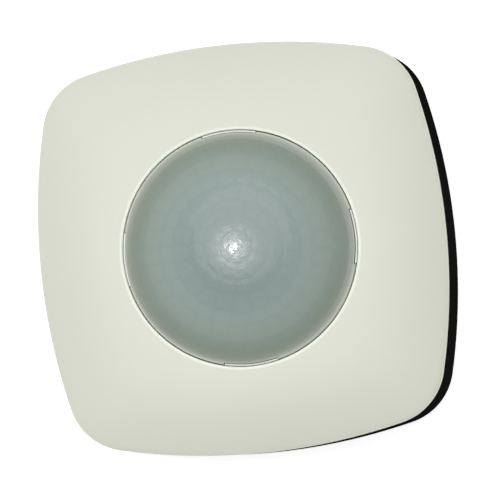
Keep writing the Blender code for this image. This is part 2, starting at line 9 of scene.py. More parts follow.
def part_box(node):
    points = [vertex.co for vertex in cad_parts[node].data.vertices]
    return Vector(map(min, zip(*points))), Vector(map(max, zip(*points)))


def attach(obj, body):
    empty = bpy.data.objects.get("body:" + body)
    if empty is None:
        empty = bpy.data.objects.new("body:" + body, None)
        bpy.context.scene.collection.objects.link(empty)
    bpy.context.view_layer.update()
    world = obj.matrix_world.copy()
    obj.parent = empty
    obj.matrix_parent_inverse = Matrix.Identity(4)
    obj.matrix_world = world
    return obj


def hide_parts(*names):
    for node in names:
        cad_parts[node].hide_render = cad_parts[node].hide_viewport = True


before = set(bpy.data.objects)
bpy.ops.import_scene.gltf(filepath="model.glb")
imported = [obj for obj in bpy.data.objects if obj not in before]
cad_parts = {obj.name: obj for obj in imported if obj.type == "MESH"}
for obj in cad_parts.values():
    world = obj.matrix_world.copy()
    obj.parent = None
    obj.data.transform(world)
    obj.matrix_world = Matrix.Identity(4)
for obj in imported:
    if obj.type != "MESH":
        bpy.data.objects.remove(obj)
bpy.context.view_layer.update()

# --- Stage ---
# The sensor lies on its back on a plain white light table, under one large soft light and a
# small flash. The camera looks down on the lens from a little to the right. The table can be
# looked through from below.

CAMERA_DISTANCE = 2.5
CAMERA_SENSOR_MM = 36
FRAME_WIDTH = 0.1461
TURN = math.radians(5.7)
LEAN_RIGHT = math.radians(7.3)
LEAN_DOWN = math.radians(1.6)
LOOK_HEIGHT = 0.029
LOOK_RIGHT = 0.0021
LOOK_UP = -0.0004
SKY_STRENGTH = 0.20
TABLE_HALF = 4
TABLE_GAP = 0.0002
TABLE_GLOW = 0.72

scene = bpy.context.scene
scene.view_settings.view_transform = "Standard"
view_right = Vector((math.cos(TURN), -math.sin(TURN), 0))
view_up = Vector((math.sin(TURN), math.cos(TURN), 0))


def slant(right, up):
    """The direction from straight above the sensor, leaned to the right and up as it is seen."""
    return (view_right * math.tan(right) + view_up * math.tan(up) + Vector((0, 0, 1))).normalized()


looked_at = Vector((0, 0, LOOK_HEIGHT)) + view_right * LOOK_RIGHT + view_up * LOOK_UP
sight = slant(LEAN_RIGHT, -LEAN_DOWN)
camera = bpy.data.objects.new("camera", bpy.data.cameras.new("camera"))
camera.data.sensor_width = CAMERA_SENSOR_MM
camera.data.lens = CAMERA_SENSOR_MM * CAMERA_DISTANCE / FRAME_WIDTH
camera.data.clip_end = 20
screen_up = (view_up - sight * view_up.dot(sight)).normalized()
camera.matrix_world = Matrix.Translation(looked_at + sight * CAMERA_DISTANCE) @ Matrix(
    (screen_up.cross(sight), screen_up, sight)
).transposed().to_4x4()
scene.collection.objects.link(camera)
scene.camera = camera

world = bpy.data.worlds.new("studio")
world.use_nodes = True
sky = world.node_tree.nodes["Background"]
sky.inputs["Color"].default_value = (1.0, 1.0, 0.99, 1)
sky.inputs["Strength"].default_value = SKY_STRENGTH
scene.world = world

# Each light leans so many degrees to the right and up, at a distance, with a diameter and a power.
for name, right, up, distance, size, power in (
    ("key", -5, 11, 2.2, 2.4, 34), ("flash", -8.6, 1.2, 2.0, 0.02, 9.5),
):
    lamp = bpy.data.lights.new(name, "AREA")
    lamp.shape = "DISK"
    lamp.size = size
    lamp.energy = power
    light = bpy.data.objects.new(name, lamp)
    light.location = slant(math.radians(right), math.radians(up)) * distance
    light.rotation_euler = light.location.to_track_quat("Z", "Y").to_euler()
    light.visible_camera = False
    scene.collection.objects.link(light)


def feed(node, inputs):
    """Sets a node's inputs, to plain values or to what other nodes put out."""
    for key, value in inputs.items():
        if isinstance(value, Number):
            value = value.socket
        if isinstance(value, bpy.types.Node):
            value = value.outputs[0]
        if isinstance(value, bpy.types.NodeSocket):
            node.id_data.links.new(value, node.inputs[key])
        else:
            node.inputs[key].default_value = value


def step(tree, kind, inputs=None, **settings):
    """One node of a tree, with its settings and its inputs."""
    made = tree.nodes.new(kind)
    for name, value in settings.items():
        setattr(made, name, value)
    feed(made, inputs or {})
    return made


def number(tree, kind, inputs=None, output=0, **settings):
    """One output of a new node, as a number to reckon with."""
    return Number(tree, step(tree, kind, inputs, **settings).outputs[output])


def reckoning(operation, swapped=False):
    """A method of a number that adds one maths node."""
    def method(self, *others):
        values = (*others, self) if swapped else (self, *others)
        return number(self.tree, "ShaderNodeMath", dict(enumerate(values)), operation=operation)
    return method


class Number:
    """A number in a node tree. Arithmetic on it adds maths nodes to the tree."""

    __add__ = __radd__ = reckoning("ADD")
    __mul__ = __rmul__ = reckoning("MULTIPLY")
    __sub__ = reckoning("SUBTRACT")
    __rsub__ = reckoning("SUBTRACT", swapped=True)
    __truediv__ = reckoning("DIVIDE")
    __pow__ = reckoning("POWER")
    __gt__ = reckoning("GREATER_THAN")
    __lt__ = reckoning("LESS_THAN")
    __abs__ = reckoning("ABSOLUTE")
    most = reckoning("MAXIMUM")
    least = reckoning("MINIMUM")
    zigzag = reckoning("PINGPONG")
    sine = reckoning("SINE")
    root = reckoning("SQRT")
    arctan2 = reckoning("ARCTAN2")

    def __init__(self, tree, socket):
        self.tree = tree
        self.socket = socket


def blended(tree, share, first, second):
    """A colour between two others, as an output socket."""
    return step(tree, "ShaderNodeMix", {0: share, 6: first, 7: second}, data_type="RGBA").outputs[2]


def material(name, roughness=0.5, **sockets):
    """A material with one Principled shader; returns it, its node tree and the shader."""
    made = bpy.data.materials.new(name)
    made.use_nodes = True
    shader = made.node_tree.nodes["Principled BSDF"]
    feed(shader, {"Roughness": roughness})
    feed(shader, {key.replace("_", " "): value for key, value in sockets.items()})
    return made, made.node_tree, shader


floor_paint, tree, shader = material(
    "floor_paint", roughness=0.9, Specular_IOR_Level=0.0, Emission_Color=(1, 1, 1, 1),
    Emission_Strength=TABLE_GLOW,
)
mottle = step(tree, "ShaderNodeTexNoise", {"Scale": 3.0, "Detail": 2.0})
feed(shader, {
    "Base Color": blended(tree, mottle, (0.93, 0.93, 0.93, 1), (0.95, 0.95, 0.95, 1)),
    "Alpha": 1.0 - number(tree, "ShaderNodeNewGeometry", output="Backfacing"),
})
mesh = bpy.data.meshes.new("floor")
mesh.from_pydata([(x * TABLE_HALF, y * TABLE_HALF, 0) for x, y in ((-1, -1), (1, -1), (1, 1), (-1, 1))],
                 [], [(0, 1, 2, 3)])
mesh.materials.append(floor_paint)
floor = bpy.data.objects.new("floor", mesh)
floor.location.z = -TABLE_GAP
scene.collection.objects.link(floor)

# --- Rear housing ---
# A black surface-mounting box in fine-textured moulded plastic: floor, wall, four tall posts
# for the sensor carrier and four low bosses for the power board. It screws to the ceiling.

SIDE_RADIUS = 0.181
CORNER_RADIUS = 0.018
HOUSING_WALL = 0.0020
FOOT = 0.0009
GROOVE_OUTER = 0.0022
GROOVE_INNER = 0.0036
GROOVE_DEPTH = 0.0005
ENTRY_RADIUS = 0.010
SLOT_X = 0.050
SLOT_LENGTH = 0.011
SLOT_WIDTH = 0.0052
KNOCKOUT_RADIUS = 0.008
KNOCKOUT_HEIGHT = 0.014
KNOCKOUT_GROOVE = 0.0007
NOTCH_HALF = 0.005
NOTCH_DEPTH = 0.0016
NOTCH_DROP = 0.002
POST_PLACE = (0.040, 0.040)
POST_TOP = 0.0211
BOSS_PLACE = (0.0375, 0.0305)
BOSS_TOP = 0.0043
CUT = 0.001

cover_low, cover_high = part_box("front_cover")
_, housing_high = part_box("rear_housing")
half_width = cover_high.x
housing_inset = half_width - housing_high.x
housing_top = housing_high.z


def arc(radius, turns, centre=(0, 0)):
    """The points of an arc at these angles."""
    return radius * np.column_stack((np.cos(turns), np.sin(turns))) + centre


def pillow(inset, side_steps=22, corner_steps=18):
    """The rounded-square outline moved inwards by inset: four side arcs and four corner arcs."""
    shift = SIDE_RADIUS - half_width
    reach = SIDE_RADIUS - CORNER_RADIUS
    corner = (math.sqrt(2 * reach**2 - shift**2) - shift) / 2
    meet = math.atan2(corner, corner + shift)
    sides = np.linspace(-meet, meet, side_steps, endpoint=False)
    turns = np.linspace(meet, math.pi / 2 - meet, corner_steps, endpoint=False)
    quarter = np.vstack((
        arc(SIDE_RADIUS - inset, sides, (-shift, 0)), arc(CORNER_RADIUS - inset, turns, (corner, corner)),
    ))
    quarters = [quarter]
    for _ in range(3):
        quarter = quarter[:, ::-1] * (-1, 1)
        quarters.append(quarter)
    return np.vstack(quarters)


def stadium(length, width, centre=(0, 0), steps=12):
    """The outline of a slot with round ends, its length along X."""
    end = arc(width / 2, np.linspace(-math.pi / 2, math.pi / 2, steps), ((length - width) / 2, 0))
    return np.vstack((end, -end)) + centre


def corners(x, y):
    """The four places at plus or minus x and y."""
    return [(x, y), (-x, y), (-x, -y), (x, -y)]


def layers(bm, rings, tube=False):
    """A shell over rings of equally many points, each (points, height).

    A tube's last ring meets its first. Otherwise the ends are filled.
    """
    rows = [[bm.verts.new((x, y, height)) for x, y in points] for points, height in rings]
    pairs = list(zip(rows, rows[1:]))
    if tube:
        pairs.append((rows[-1], rows[0]))
    for row, following in pairs:
        for i in range(len(row)):
            bm.faces.new((row[i - 1], row[i], following[i], following[i - 1]))
    if not tube:
        bm.faces.new(rows[0])
        bm.faces.new(rows[-1])
    return [vert for row in rows for vert in row]


def turned(bm, profile, centre=(0, 0), steps=32, tilt=None):
    """A turned body: (radius, height) points swept round an upright axis, then tilted if asked.

    A profile that starts on the axis makes a solid body, any other a ring.
    """
    turns = np.linspace(0, 2 * math.pi, steps, endpoint=False)
    rings = [(arc(max(radius, 0.00001), turns, centre), height) for radius, height in profile]
    made = layers(bm, rings, tube=profile[0][0] > 0)
    if tilt:
        bmesh.ops.transform(bm, matrix=tilt, verts=made)


def peg(bm, radius, low, high, centre=(0, 0), steps=32):
    """An upright cylinder."""
    turned(bm, [(0, low), (radius, low), (radius, high), (0, high)], centre, steps)


def block(bm, low, high, bevel=0.0, tilt=None):
    """A box between two corners, its edges rounded and the whole tilted if asked."""
    made = bmesh.ops.create_cube(bm, size=1)["verts"]
    for vert in made:
        vert.co = [low[i] + (high[i] - low[i]) * (vert.co[i] + 0.5) for i in range(3)]
    if tilt:
        bmesh.ops.transform(bm, matrix=tilt, verts=made)
    if bevel:
        edges = list({edge for vert in made for edge in vert.link_edges})
        bmesh.ops.bevel(bm, geom=edges, offset=bevel, segments=2, affect="EDGES", profile=0.5)


def finished(mesh, look, sharp=35):
    """A mesh in one material, smooth but for its sharp edges."""
    mesh.materials.clear()
    mesh.materials.append(look)
    mesh.shade_smooth()
    mesh.set_sharp_from_angle(angle=math.radians(sharp))
    return mesh


def plain_mesh(thing):
    """The mesh of an object with its modifiers applied."""
    bpy.context.view_layer.update()
    return bpy.data.meshes.new_from_object(thing.evaluated_get(bpy.context.evaluated_depsgraph_get()))


def meshed(name, bm):
    """A mesh from closed shells in a bmesh, their faces turned outwards."""
    bmesh.ops.recalc_face_normals(bm, faces=bm.faces)
    mesh = bpy.data.meshes.new(name)
    bm.to_mesh(mesh)
    bm.free()
    return mesh


def added(name, mesh, look, sharp=35):
    """A piece from a mesh, in the scene."""
    piece = bpy.data.objects.new(name, finished(mesh, look, sharp))
    scene.collection.objects.link(piece)
    return piece


def carved(piece, tool, operation="DIFFERENCE"):
    """Cuts a bmesh of closed shells from the piece, or joins it to the piece."""
    look = piece.data.materials[0]
    cutter = added("tool", meshed("tool", tool), look)
    change = piece.modifiers.new("carve", "BOOLEAN")
    change.object = cutter
    change.operation = operation
    change.solver = "EXACT"
    change.use_self = True
    mesh = plain_mesh(piece)
    piece.modifiers.clear()
    piece.data = finished(mesh, look)
    bpy.data.objects.remove(cutter)


def fixed(piece, ride_on, slot, *nodes):
    """The piece rides on a body and stands for the CAD nodes named, which it hides. The slot is not used."""
    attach(piece, ride_on)
    if nodes:
        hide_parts(*nodes)


def make(name, bm, look, ride_on, slot, *nodes, cut=None, join=None, sharp=35):
    """A finished piece from closed shells, after a bmesh of tools has been cut from it or joined to it."""
    piece = added(name, meshed(name, bm), look, sharp)
    if cut:
        carved(piece, cut)
    if join:
        carved(piece, join, "UNION")
    fixed(piece, ride_on, slot, *nodes)


def group(name, inputs, outputs, kind="ShaderNodeTree"):
    """An empty node group with these sockets; returns it with its inputs and its output node."""
    made = bpy.data.node_groups.new(name, kind)
    for side, sockets in (("INPUT", inputs), ("OUTPUT", outputs)):
        for label, socket in sockets.items():
            made.interface.new_socket(label, in_out=side, socket_type=f"NodeSocket{socket}")
    return made, made.nodes.new("NodeGroupInput").outputs, made.nodes.new("NodeGroupOutput")


def noise(tree, place, scale, detail=2.0):
    """A soft noise over a place."""
    return number(tree, "ShaderNodeTexNoise", {"Vector": place, "Scale": scale, "Detail": detail})


def own_place(tree):
    """Where a point of the surface is on the piece."""
    return step(tree, "ShaderNodeTexCoord").outputs["Object"]


moulding, given, result = group(
    "moulding",
    {"Colour": "Color", "Shade": "Color", "Patch Scale": "Float", "Grain Scale": "Float",
     "Grain Depth": "Float", "Roughness": "Float", "Roughness Spread": "Float"},
    {"Colour": "Color", "Roughness": "Float", "Normal": "Vector"},
)
place = own_place(moulding)
grain = noise(moulding, place, given["Grain Scale"])
patches = noise(moulding, place, given["Patch Scale"], 3.0)
feed(result, {
    "Colour": blended(moulding, patches, given["Colour"], given["Shade"]),
    "Roughness": grain * given["Roughness Spread"] + given["Roughness"],
    "Normal": step(moulding, "ShaderNodeBump", {"Distance": given["Grain Depth"], "Height": grain}),
})


def dressed(shader, finish, values):
    """Puts a shader group with its values before a shader, and feeds what it gives to the shader."""
    part = step(shader.id_data, "ShaderNodeGroup", values, node_tree=finish)
    for output, socket in (("Colour", "Base Color"), ("Roughness", "Roughness"), ("Normal", "Normal")):
        if output in part.outputs:
            feed(shader, {socket: part.outputs[output]})


def moulded(name, colour, shade, patch=30.0, grain=2500.0, depth=0.00002, roughness=0.4, spread=0.15,
            **sockets):
    """A moulded plastic: slow colour patches between two tones, and a fine spark-eroded grain."""
    made, _, shader = material(name, **sockets)
    dressed(shader, moulding, {
        "Colour": (*colour, 1), "Shade": (*shade, 1), "Patch Scale": patch, "Grain Scale": grain,
        "Grain Depth": depth, "Roughness": roughness, "Roughness Spread": spread,
    })
    return made


housing_black = moulded(
    "housing_black", (0.0030, 0.0030, 0.0028), (0.0100, 0.0100, 0.0094), grain=1600, depth=0.00006,
    roughness=0.7, spread=0.2, Specular_IOR_Level=0.0, Coat_Roughness=0.55,
)
tree = housing_black.node_tree
sheen = step(tree, "ShaderNodeMapRange", {
    "Value": step(tree, "ShaderNodeLayerWeight", {"Blend": 0.5}).outputs["Facing"],
    "From Min": 0.4, "From Max": 0.84, "To Min": 0.5, "To Max": 0.0,
})
feed(tree.nodes["Principled BSDF"], {"Coat Weight": sheen})

shell = bmesh.new()
layers(shell, [(pillow(housing_inset + inset), height) for inset, height in (
    (GROOVE_INNER + 0.0002, 0), (GROOVE_INNER, GROOVE_DEPTH), (GROOVE_OUTER + 0.0002, GROOVE_DEPTH),
    (GROOVE_OUTER, 0), (FOOT, 0), (0.3 * FOOT, 0.25 * FOOT), (0, FOOT), (0, housing_top - 0.0003),
    (0.0003, housing_top), (HOUSING_WALL - 0.0003, housing_top), (HOUSING_WALL, housing_top - 0.0003),
    (HOUSING_WALL, HOUSING_WALL + 0.0008), (HOUSING_WALL + 0.0008, HOUSING_WALL),
)])

tool = bmesh.new()
peg(tool, ENTRY_RADIUS, -CUT, 2 * HOUSING_WALL, steps=72)
for side in (-1, 1):
    sink = stadium(SLOT_LENGTH + 0.003, SLOT_WIDTH + 0.003, (side * SLOT_X, 0))
    through = stadium(SLOT_LENGTH, SLOT_WIDTH, (side * SLOT_X, 0))
    layers(tool, [
        (through, -CUT), (through, 0.0012), (sink, HOUSING_WALL + 0.0003), (sink, 2 * HOUSING_WALL),
    ])
    groove_floor = housing_high.y - 0.0007
    outwards = Matrix.Translation((0, 0, KNOCKOUT_HEIGHT)) @ Matrix.Rotation(side * math.pi / 2, 4, "X")
    turned(tool, [(KNOCKOUT_RADIUS + across * KNOCKOUT_GROOVE, groove_floor + out) for across, out in (
        (-0.5, 0), (0.5, 0), (0.5, 0.003), (-0.5, 0.003),
    )], steps=48, tilt=outwards)
block(tool, (-NOTCH_HALF, -0.065, housing_top - NOTCH_DROP),
      (NOTCH_HALF, NOTCH_DEPTH - housing_high.y, housing_top + CUT), bevel=0.0003)

posts = bmesh.new()
for x, y in corners(*POST_PLACE):
    turned(posts, [
        (0, 0.0016), (0.0042, 0.0016), (0.0034, 0.0034), (0.0032, 0.006), (0.0032, POST_TOP - 0.0003),
        (0.0029, POST_TOP), (0.0019, POST_TOP), (0.0017, POST_TOP - 0.0003), (0.0017, 0.009), (0, 0.009),
    ], (x, y), 36)
    turn = Matrix.Rotation(math.atan2(y, x), 4, "Z")
    block(posts, (math.hypot(x, y) + 0.0024, -0.0006, 0.0016), (0.0692, 0.0006, 0.016), tilt=turn)
for x, y in corners(*BOSS_PLACE):
    turned(posts, [
        (0, 0.0016), (0.0034, 0.0016), (0.0026, 0.0026), (0.0026, BOSS_TOP - 0.0002), (0.0024, BOSS_TOP),
        (0.0015, BOSS_TOP), (0.0014, BOSS_TOP - 0.0002), (0.0014, 0.0022), (0, 0.0022),
    ], (x, y), 28)
make("housing_shell", shell, housing_black, "base", "black_plastic", "rear_housing", cut=tool, join=posts)

# --- Cable grommet ---
# A soft black rubber grommet that snaps into the cable entry. Its cone closes on the cable, and
# fine ribs run round its flange.

GROMMET_RIBS = 3
RIB_PITCH = 0.0012
black_rubber = moulded(
    "grommet_rubber", (0.012, 0.012, 0.012), (0.020, 0.019, 0.018), patch=120, grain=900, depth=0.00008,
    roughness=0.72, spread=0.2, Specular_IOR_Level=0.3,
)
profile = [(0.0041, 0.0075), (0.0046, 0.0077), (0.0050, 0.0075), (0.0057, 0.0058), (0.0066, 0.0043)]
for i in range(GROMMET_RIBS):
    r = 0.0080 + RIB_PITCH * i
    profile += [(r - 0.0004, 0.0041), (r, 0.0043), (r + 0.0004, 0.0041)]
profile += [
    (0.0118, 0.0040), (0.0120, 0.0038), (0.0120, 0.0025), (0.0118, 0.0023), (0.0098, 0.0023),
    (0.0097, 0.0021), (0.0097, 0.0004), (0.0095, 0.0002), (0.0088, 0.0002), (0.0086, 0.0008),
    (0.0074, 0.0008), (0.0072, 0.0002), (0.0050, 0.0002), (0.0048, 0.0004),
]
bm = bmesh.new()
turned(bm, profile, steps=72)
make("grommet", bm, black_rubber, "base", "black_rubber", "cable_grommet", sharp=50)

# --- Power board ---
# A green glass-fibre board on the low bosses, with its copper tracks under the solder mask. Four
# zinc-plated pan-head screws hold it.

tracks, given, result = group(
    "board_tracks", {"Mask": "Color", "Track": "Color", "Pitch": "Float", "Grain": "Float"},
    {"Colour": "Color", "Normal": "Vector"},
)
place = own_place(tracks)
weave = noise(tracks, place, given["Grain"])
copper = number(tracks, "ShaderNodeTexVoronoi", {"Vector": place, "Scale": 170.0}, "Distance") < 0.11
for turn, stretch in ((0.0, 3.1), (math.pi / 2, 4.3)):
    along = step(tracks, "ShaderNodeMapping", {"Vector": place, "Rotation": (0, 0, turn)})
    brick = number(tracks, "ShaderNodeTexBrick", {
        "Vector": along, "Color1": (0, 0, 0, 1), "Color2": (0, 0, 0, 1), "Mortar": (1, 1, 1, 1),
        "Scale": given["Pitch"], "Mortar Size": 0.035, "Mortar Smooth": 0.2, "Brick Width": stretch,
        "Row Height": 0.5,
    }, offset=0.37, offset_frequency=3, squash=1.6, squash_frequency=2)
    copper = copper.most(brick * (noise(tracks, along, 55.0, 0.0) > 0.47))
lacquer = blended(tracks, weave * 0.35, given["Mask"], (0.0, 0.01, 0.005, 1))
feed(result, {
    "Colour": blended(tracks, copper, lacquer, given["Track"]),
    "Normal": step(tracks, "ShaderNodeBump", {"Distance": 0.00004, "Height": weave * 0.15 + copper}),
})
solder_mask, _, shader = material("solder_mask", roughness=0.28, Coat_Weight=0.3, Coat_Roughness=0.15)
dressed(shader, tracks, {
    "Mask": (0.010, 0.085, 0.036, 1), "Track": (0.028, 0.17, 0.070, 1), "Pitch": 260.0, "Grain": 900.0,
})

brushed, given, result = group(
    "brushed_metal", {"Bright": "Color", "Dull": "Color", "Scale": "Float", "Roughness": "Float"},
    {"Colour": "Color", "Roughness": "Float", "Normal": "Vector"},
)
drawn = step(brushed, "ShaderNodeMapping", {"Vector": own_place(brushed), "Scale": (1, 1, 5)})
scratch = noise(brushed, drawn, given["Scale"], 4.0)
feed(result, {
    "Colour": blended(brushed, scratch, given["Bright"], given["Dull"]),
    "Roughness": scratch * 0.18 + given["Roughness"],
    "Normal": step(brushed, "ShaderNodeBump", {"Distance": 0.00001, "Height": scratch}),
})


def metal(name, bright, dull, scale=700.0, roughness=0.22):
    """A plain or plated metal with fine drawn scratches."""
    made, _, shader = material(name, Metallic=1.0)
    dressed(shader, brushed, {
        "Bright": (*bright, 1), "Dull": (*dull, 1), "Scale": scale, "Roughness": roughness,
    })
    return made


tinned = metal("tinned_metal", (0.74, 0.74, 0.71), (0.56, 0.56, 0.54))
zinc = metal("zinc_plate", (0.66, 0.67, 0.68), (0.42, 0.43, 0.45), scale=1200.0, roughness=0.28)


def rounded(low, high, radius, inset=0.0, steps=6):
    """The outline of a box with round corners, moved inwards by inset."""
    quarters = []
    for i, (side_x, side_y) in enumerate(corners(1, 1)):
        centre = (
            (high[0] if side_x > 0 else low[0]) - side_x * radius,
            (high[1] if side_y > 0 else low[1]) - side_y * radius,
        )
        turns = np.linspace(0, math.pi / 2, steps) + i * math.pi / 2
        quarters.append(arc(radius - inset, turns, centre))
    return np.vstack(quarters)


def plank(bm, low, high, radius, bevel=0.00012):
    """A board with rounded corners between two corners of its box."""
    outline = rounded(low, high, radius, steps=7)
    middle = outline.mean(0)
    trim = middle + (outline - middle) * (1 - bevel / np.abs(outline - middle).max())
    layers(bm, [(trim, low[2]), (outline, low[2] + bevel), (outline, high[2] - bevel), (trim, high[2])])


def drills(holes, low, high, steps=32):
    """Upright round cutters, one for each (x, y, radius)."""
    tool = bmesh.new()
    for x, y, radius in holes:
        peg(tool, radius, low, high, (x, y), steps)
    return tool


power_low, power_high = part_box("power_board")
bm = bmesh.new()
plank(bm, power_low, power_high, 0.003)
holes = [(x, y, 0.0016) for x, y in corners(*BOSS_PLACE)] + [(0, 0, 0.013)]
make("power_board_part", bm, solder_mask, "base", "circuit_board", "power_board",
     cut=drills(holes, power_low.z - CUT, power_high.z + CUT))


def sprout(name, inputs):
    """An empty Geometry Nodes tree over some geometry; returns it with its inputs as numbers."""
    sockets = {"Geometry": "Geometry", **inputs, "Material": "Material"}
    tree, given, _ = group(name, sockets, {"Geometry": "Geometry"}, "GeometryNodeTree")
    return tree, *(Number(tree, given[label]) for label in inputs)


def position(tree):
    """Where a point is: its x, y and z."""
    split = step(tree, "ShaderNodeSeparateXYZ", {0: step(tree, "GeometryNodeInputPosition")})
    return [Number(tree, socket) for socket in split.outputs]


def radial(tree):
    """The height of a point, its distance from the upright axis and its bearing in turns."""
    x, y, z = position(tree)
    return z, (x * x + y * y).root(), y.arctan2(x) / (2 * math.pi)


def triple(tree, x=0.0, y=0.0, z=0.0):
    """A vector from three numbers."""
    return step(tree, "ShaderNodeCombineXYZ", {0: x, 1: y, 2: z})


def pushed(tree, shape, x=0.0, y=0.0, z=0.0):
    """A shape with each of its points moved by these amounts."""
    return step(tree, "GeometryNodeSetPosition", {"Geometry": shape, "Offset": triple(tree, x, y, z)})


def swollen(tree, shape, share):
    """A shape with each point moved off the upright axis by a share of its distance from it."""
    x, y, _ = position(tree)
    return pushed(tree, shape, x * share, y * share)


def shifted(tree, shape, **change):
    """A shape moved, turned or scaled as a whole."""
    return step(tree, "GeometryNodeTransform", {"Geometry": shape, **change})


def joined(tree, *shapes):
    """Several shapes as one."""
    whole = step(tree, "GeometryNodeJoinGeometry")
    for shape in shapes:
        feed(whole, {0: shape})
    return whole


def repeated(tree, points, shape, **inputs):
    """A copy of a shape on each point."""
    return step(tree, "GeometryNodeInstanceOnPoints", {"Points": points, "Instance": shape, **inputs})


def ended(tree, shape, on_points=True):
    """Ends a tree: the shape, on each of the points it was given if asked, as one painted mesh."""
    given = tree.nodes["Group Input"].outputs
    if on_points:
        shape = repeated(tree, given["Geometry"], shape)
    whole = step(tree, "GeometryNodeRealizeInstances", {0: shape})
    painted = step(tree, "GeometryNodeSetMaterial", {0: whole, "Material": given["Material"]})
    feed(tree.nodes["Group Output"], {0: painted})


def grown(name, tree, mesh, look, values, sharp=35):
    """The piece that a Geometry Nodes tree makes of a mesh, its inputs set by their labels."""
    host = bpy.data.objects.new("host", mesh)
    scene.collection.objects.link(host)
    grow = host.modifiers.new("grow", "NODES")
    grow.node_group = tree
    settings = {**values, "Material": look}
    for socket in tree.interface.items_tree:
        if socket.in_out == "INPUT" and socket.name in settings:
            grow[socket.identifier] = settings[socket.name]
    piece = added(name, plain_mesh(host), look, sharp)
    host.modifiers.clear()
    bpy.data.objects.remove(host)
    return piece


def dots(places):
    """A mesh of loose points, for a tree to put its shapes on."""
    mesh = bpy.data.meshes.new("places")
    mesh.from_pydata([tuple(place) for place in places], [], [])
    return mesh


def box(node):
    """The lowest and the highest corner of a node's box, and its middle."""
    low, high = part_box(node)
    return low, high, (low + high) / 2


def four(stem):
    """The names of four numbered pieces."""
    return [f"{stem}_{i}" for i in range(1, 5)]


screw, head_radius, head_height, shank_radius, length, pitch, facing = sprout("cross_screw", {
    "Head Radius": "Float", "Head Height": "Float", "Shank Radius": "Float", "Length": "Float",
    "Pitch": "Float", "Facing": "Vector",
})
z, out, bearing = radial(screw)
brim = head_height * 0.45
drum = step(screw, "GeometryNodeMeshCylinder", {
    "Vertices": 28, "Side Segments": 1, "Fill Segments": 5, "Radius": head_radius, "Depth": brim,
})
share = out / head_radius
dome = (1.0 - share * share) * (head_height * 0.54)
head = pushed(screw, drum, z=dome * (z > 0.0) + brim * 0.5)
recess = step(screw, "GeometryNodeMeshBoolean", {"Mesh 1": head}, operation="DIFFERENCE", solver="EXACT")
arm, blade = head_radius * 1.15, head_radius * 0.24
for across, along in ((arm, blade), (blade, arm)):
    slot = step(screw, "GeometryNodeMeshCube", {"Size": triple(screw, across, along, head_height)})
    feed(recess, {"Mesh 2": shifted(screw, slot, Translation=triple(screw, z=head_height * 0.95))})
rod = step(screw, "GeometryNodeMeshCylinder", {
    "Vertices": 16, "Side Segments": length * 4.0 / pitch, "Radius": shank_radius, "Depth": length,
})
rod = shifted(screw, rod, Translation=triple(screw, z=length * -0.5))
thread = 1.0 - (z / pitch + bearing).zigzag(0.5) * 0.44
point = ((z + length) / shank_radius * 0.45 + 0.25).least(1.0)
shank = swollen(screw, rod, thread * point - 1.0)
ended(screw, shifted(screw, joined(screw, recess, shank), Scale=facing))


def screws(name, ride_on, nodes, length, shank, pitch, up=1):
    """The cross-recess screws that stand for CAD nodes, their heads up (1) or down (-1)."""
    seats = []
    for node in nodes:
        low, high, middle = box(node)
        drop = high.z - low.z - length
        seats.append((middle.x, middle.y, high.z - drop if up > 0 else low.z + drop))
    piece = grown(name, screw, dots(seats), zinc, {
        "Head Radius": (high.x - low.x) / 2, "Head Height": drop, "Shank Radius": shank,
        "Length": length, "Pitch": pitch, "Facing": (1, up, up),
    }, 40)
    fixed(piece, ride_on, "steel", *nodes)


screws("power_board_screws", "base", four("power_board_screw"), 0.0048, 0.0010, 0.0008)

# --- Terminal block ---
# Four push-in mains terminals in a white moulded block, with an orange button over each that
# opens its spring clamp. The funnels for the wires face the middle of the board.

FUNNEL_HEIGHT = 0.0091
BUTTON_GAP = 0.0003
SEAM_HALF = 0.0002
terminal_white = moulded(
    "terminal_white", (0.62, 0.63, 0.61), (0.55, 0.56, 0.54), patch=90, grain=2600, roughness=0.35,
)
button_orange = moulded(
    "button_orange", (0.78, 0.20, 0.025), (0.66, 0.16, 0.02), patch=160, grain=2600, roughness=0.36,
)
low, high, _ = box("terminal_block")
buttons = four("terminal_release_button")
button_boxes = [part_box(node) for node in buttons]
ways = [(a.x + b.x) / 2 for a, b in button_boxes]
terminals = bmesh.new()
block(terminals, low, high, bevel=0.0004)
tool = bmesh.new()
for x, (a, b) in zip(ways, button_boxes):
    block(tool, (a.x - BUTTON_GAP, a.y - BUTTON_GAP, a.z - 0.0015),
          (b.x + BUTTON_GAP, b.y + BUTTON_GAP, high.z + CUT))
    into = Matrix.Translation((x, high.y, FUNNEL_HEIGHT)) @ Matrix.Rotation(-math.pi / 2, 4, "X")
    turned(tool, [
        (0, -0.006), (0.0014, -0.006), (0.0014, -0.0012), (0.0023, 0.0002), (0.0023, 0.001), (0, 0.001),
    ], steps=28, tilt=into)
    block(tool, (x - 0.0005, high.y - 0.004, high.z - 0.0009), (x + 0.0005, high.y - 0.0012, high.z + CUT))
for left, right in zip(ways, ways[1:]):
    x = (left + right) / 2
    for start, depth in ((low.y - CUT, high.z - 0.0006), (high.y - 0.0004, low.z - CUT)):
        block(tool, (x - SEAM_HALF, start, depth), (x + SEAM_HALF, high.y + CUT, high.z + CUT))
make("terminal_body", terminals, terminal_white, "base", "white_plastic", "terminal_block", cut=tool)
# Where the leads of the power board's parts come through it, to be soldered below.
leads = [(x, y) for x in ways for y in (low.y + 0.003, high.y - 0.003)]
for i, (node, (a, b)) in enumerate(zip(buttons, button_boxes), 1):
    bm, tool = bmesh.new(), bmesh.new()
    block(bm, a, b, bevel=0.0003)
    middle = (a.y + b.y) / 2
    block(tool, (a.x + 0.0007, middle - 0.0003, b.z - 0.0006), (b.x - 0.0007, middle + 0.0003, b.z + CUT))
    make(f"release_button_{i}", bm, button_orange, node, "orange_plastic", node, cut=tool)

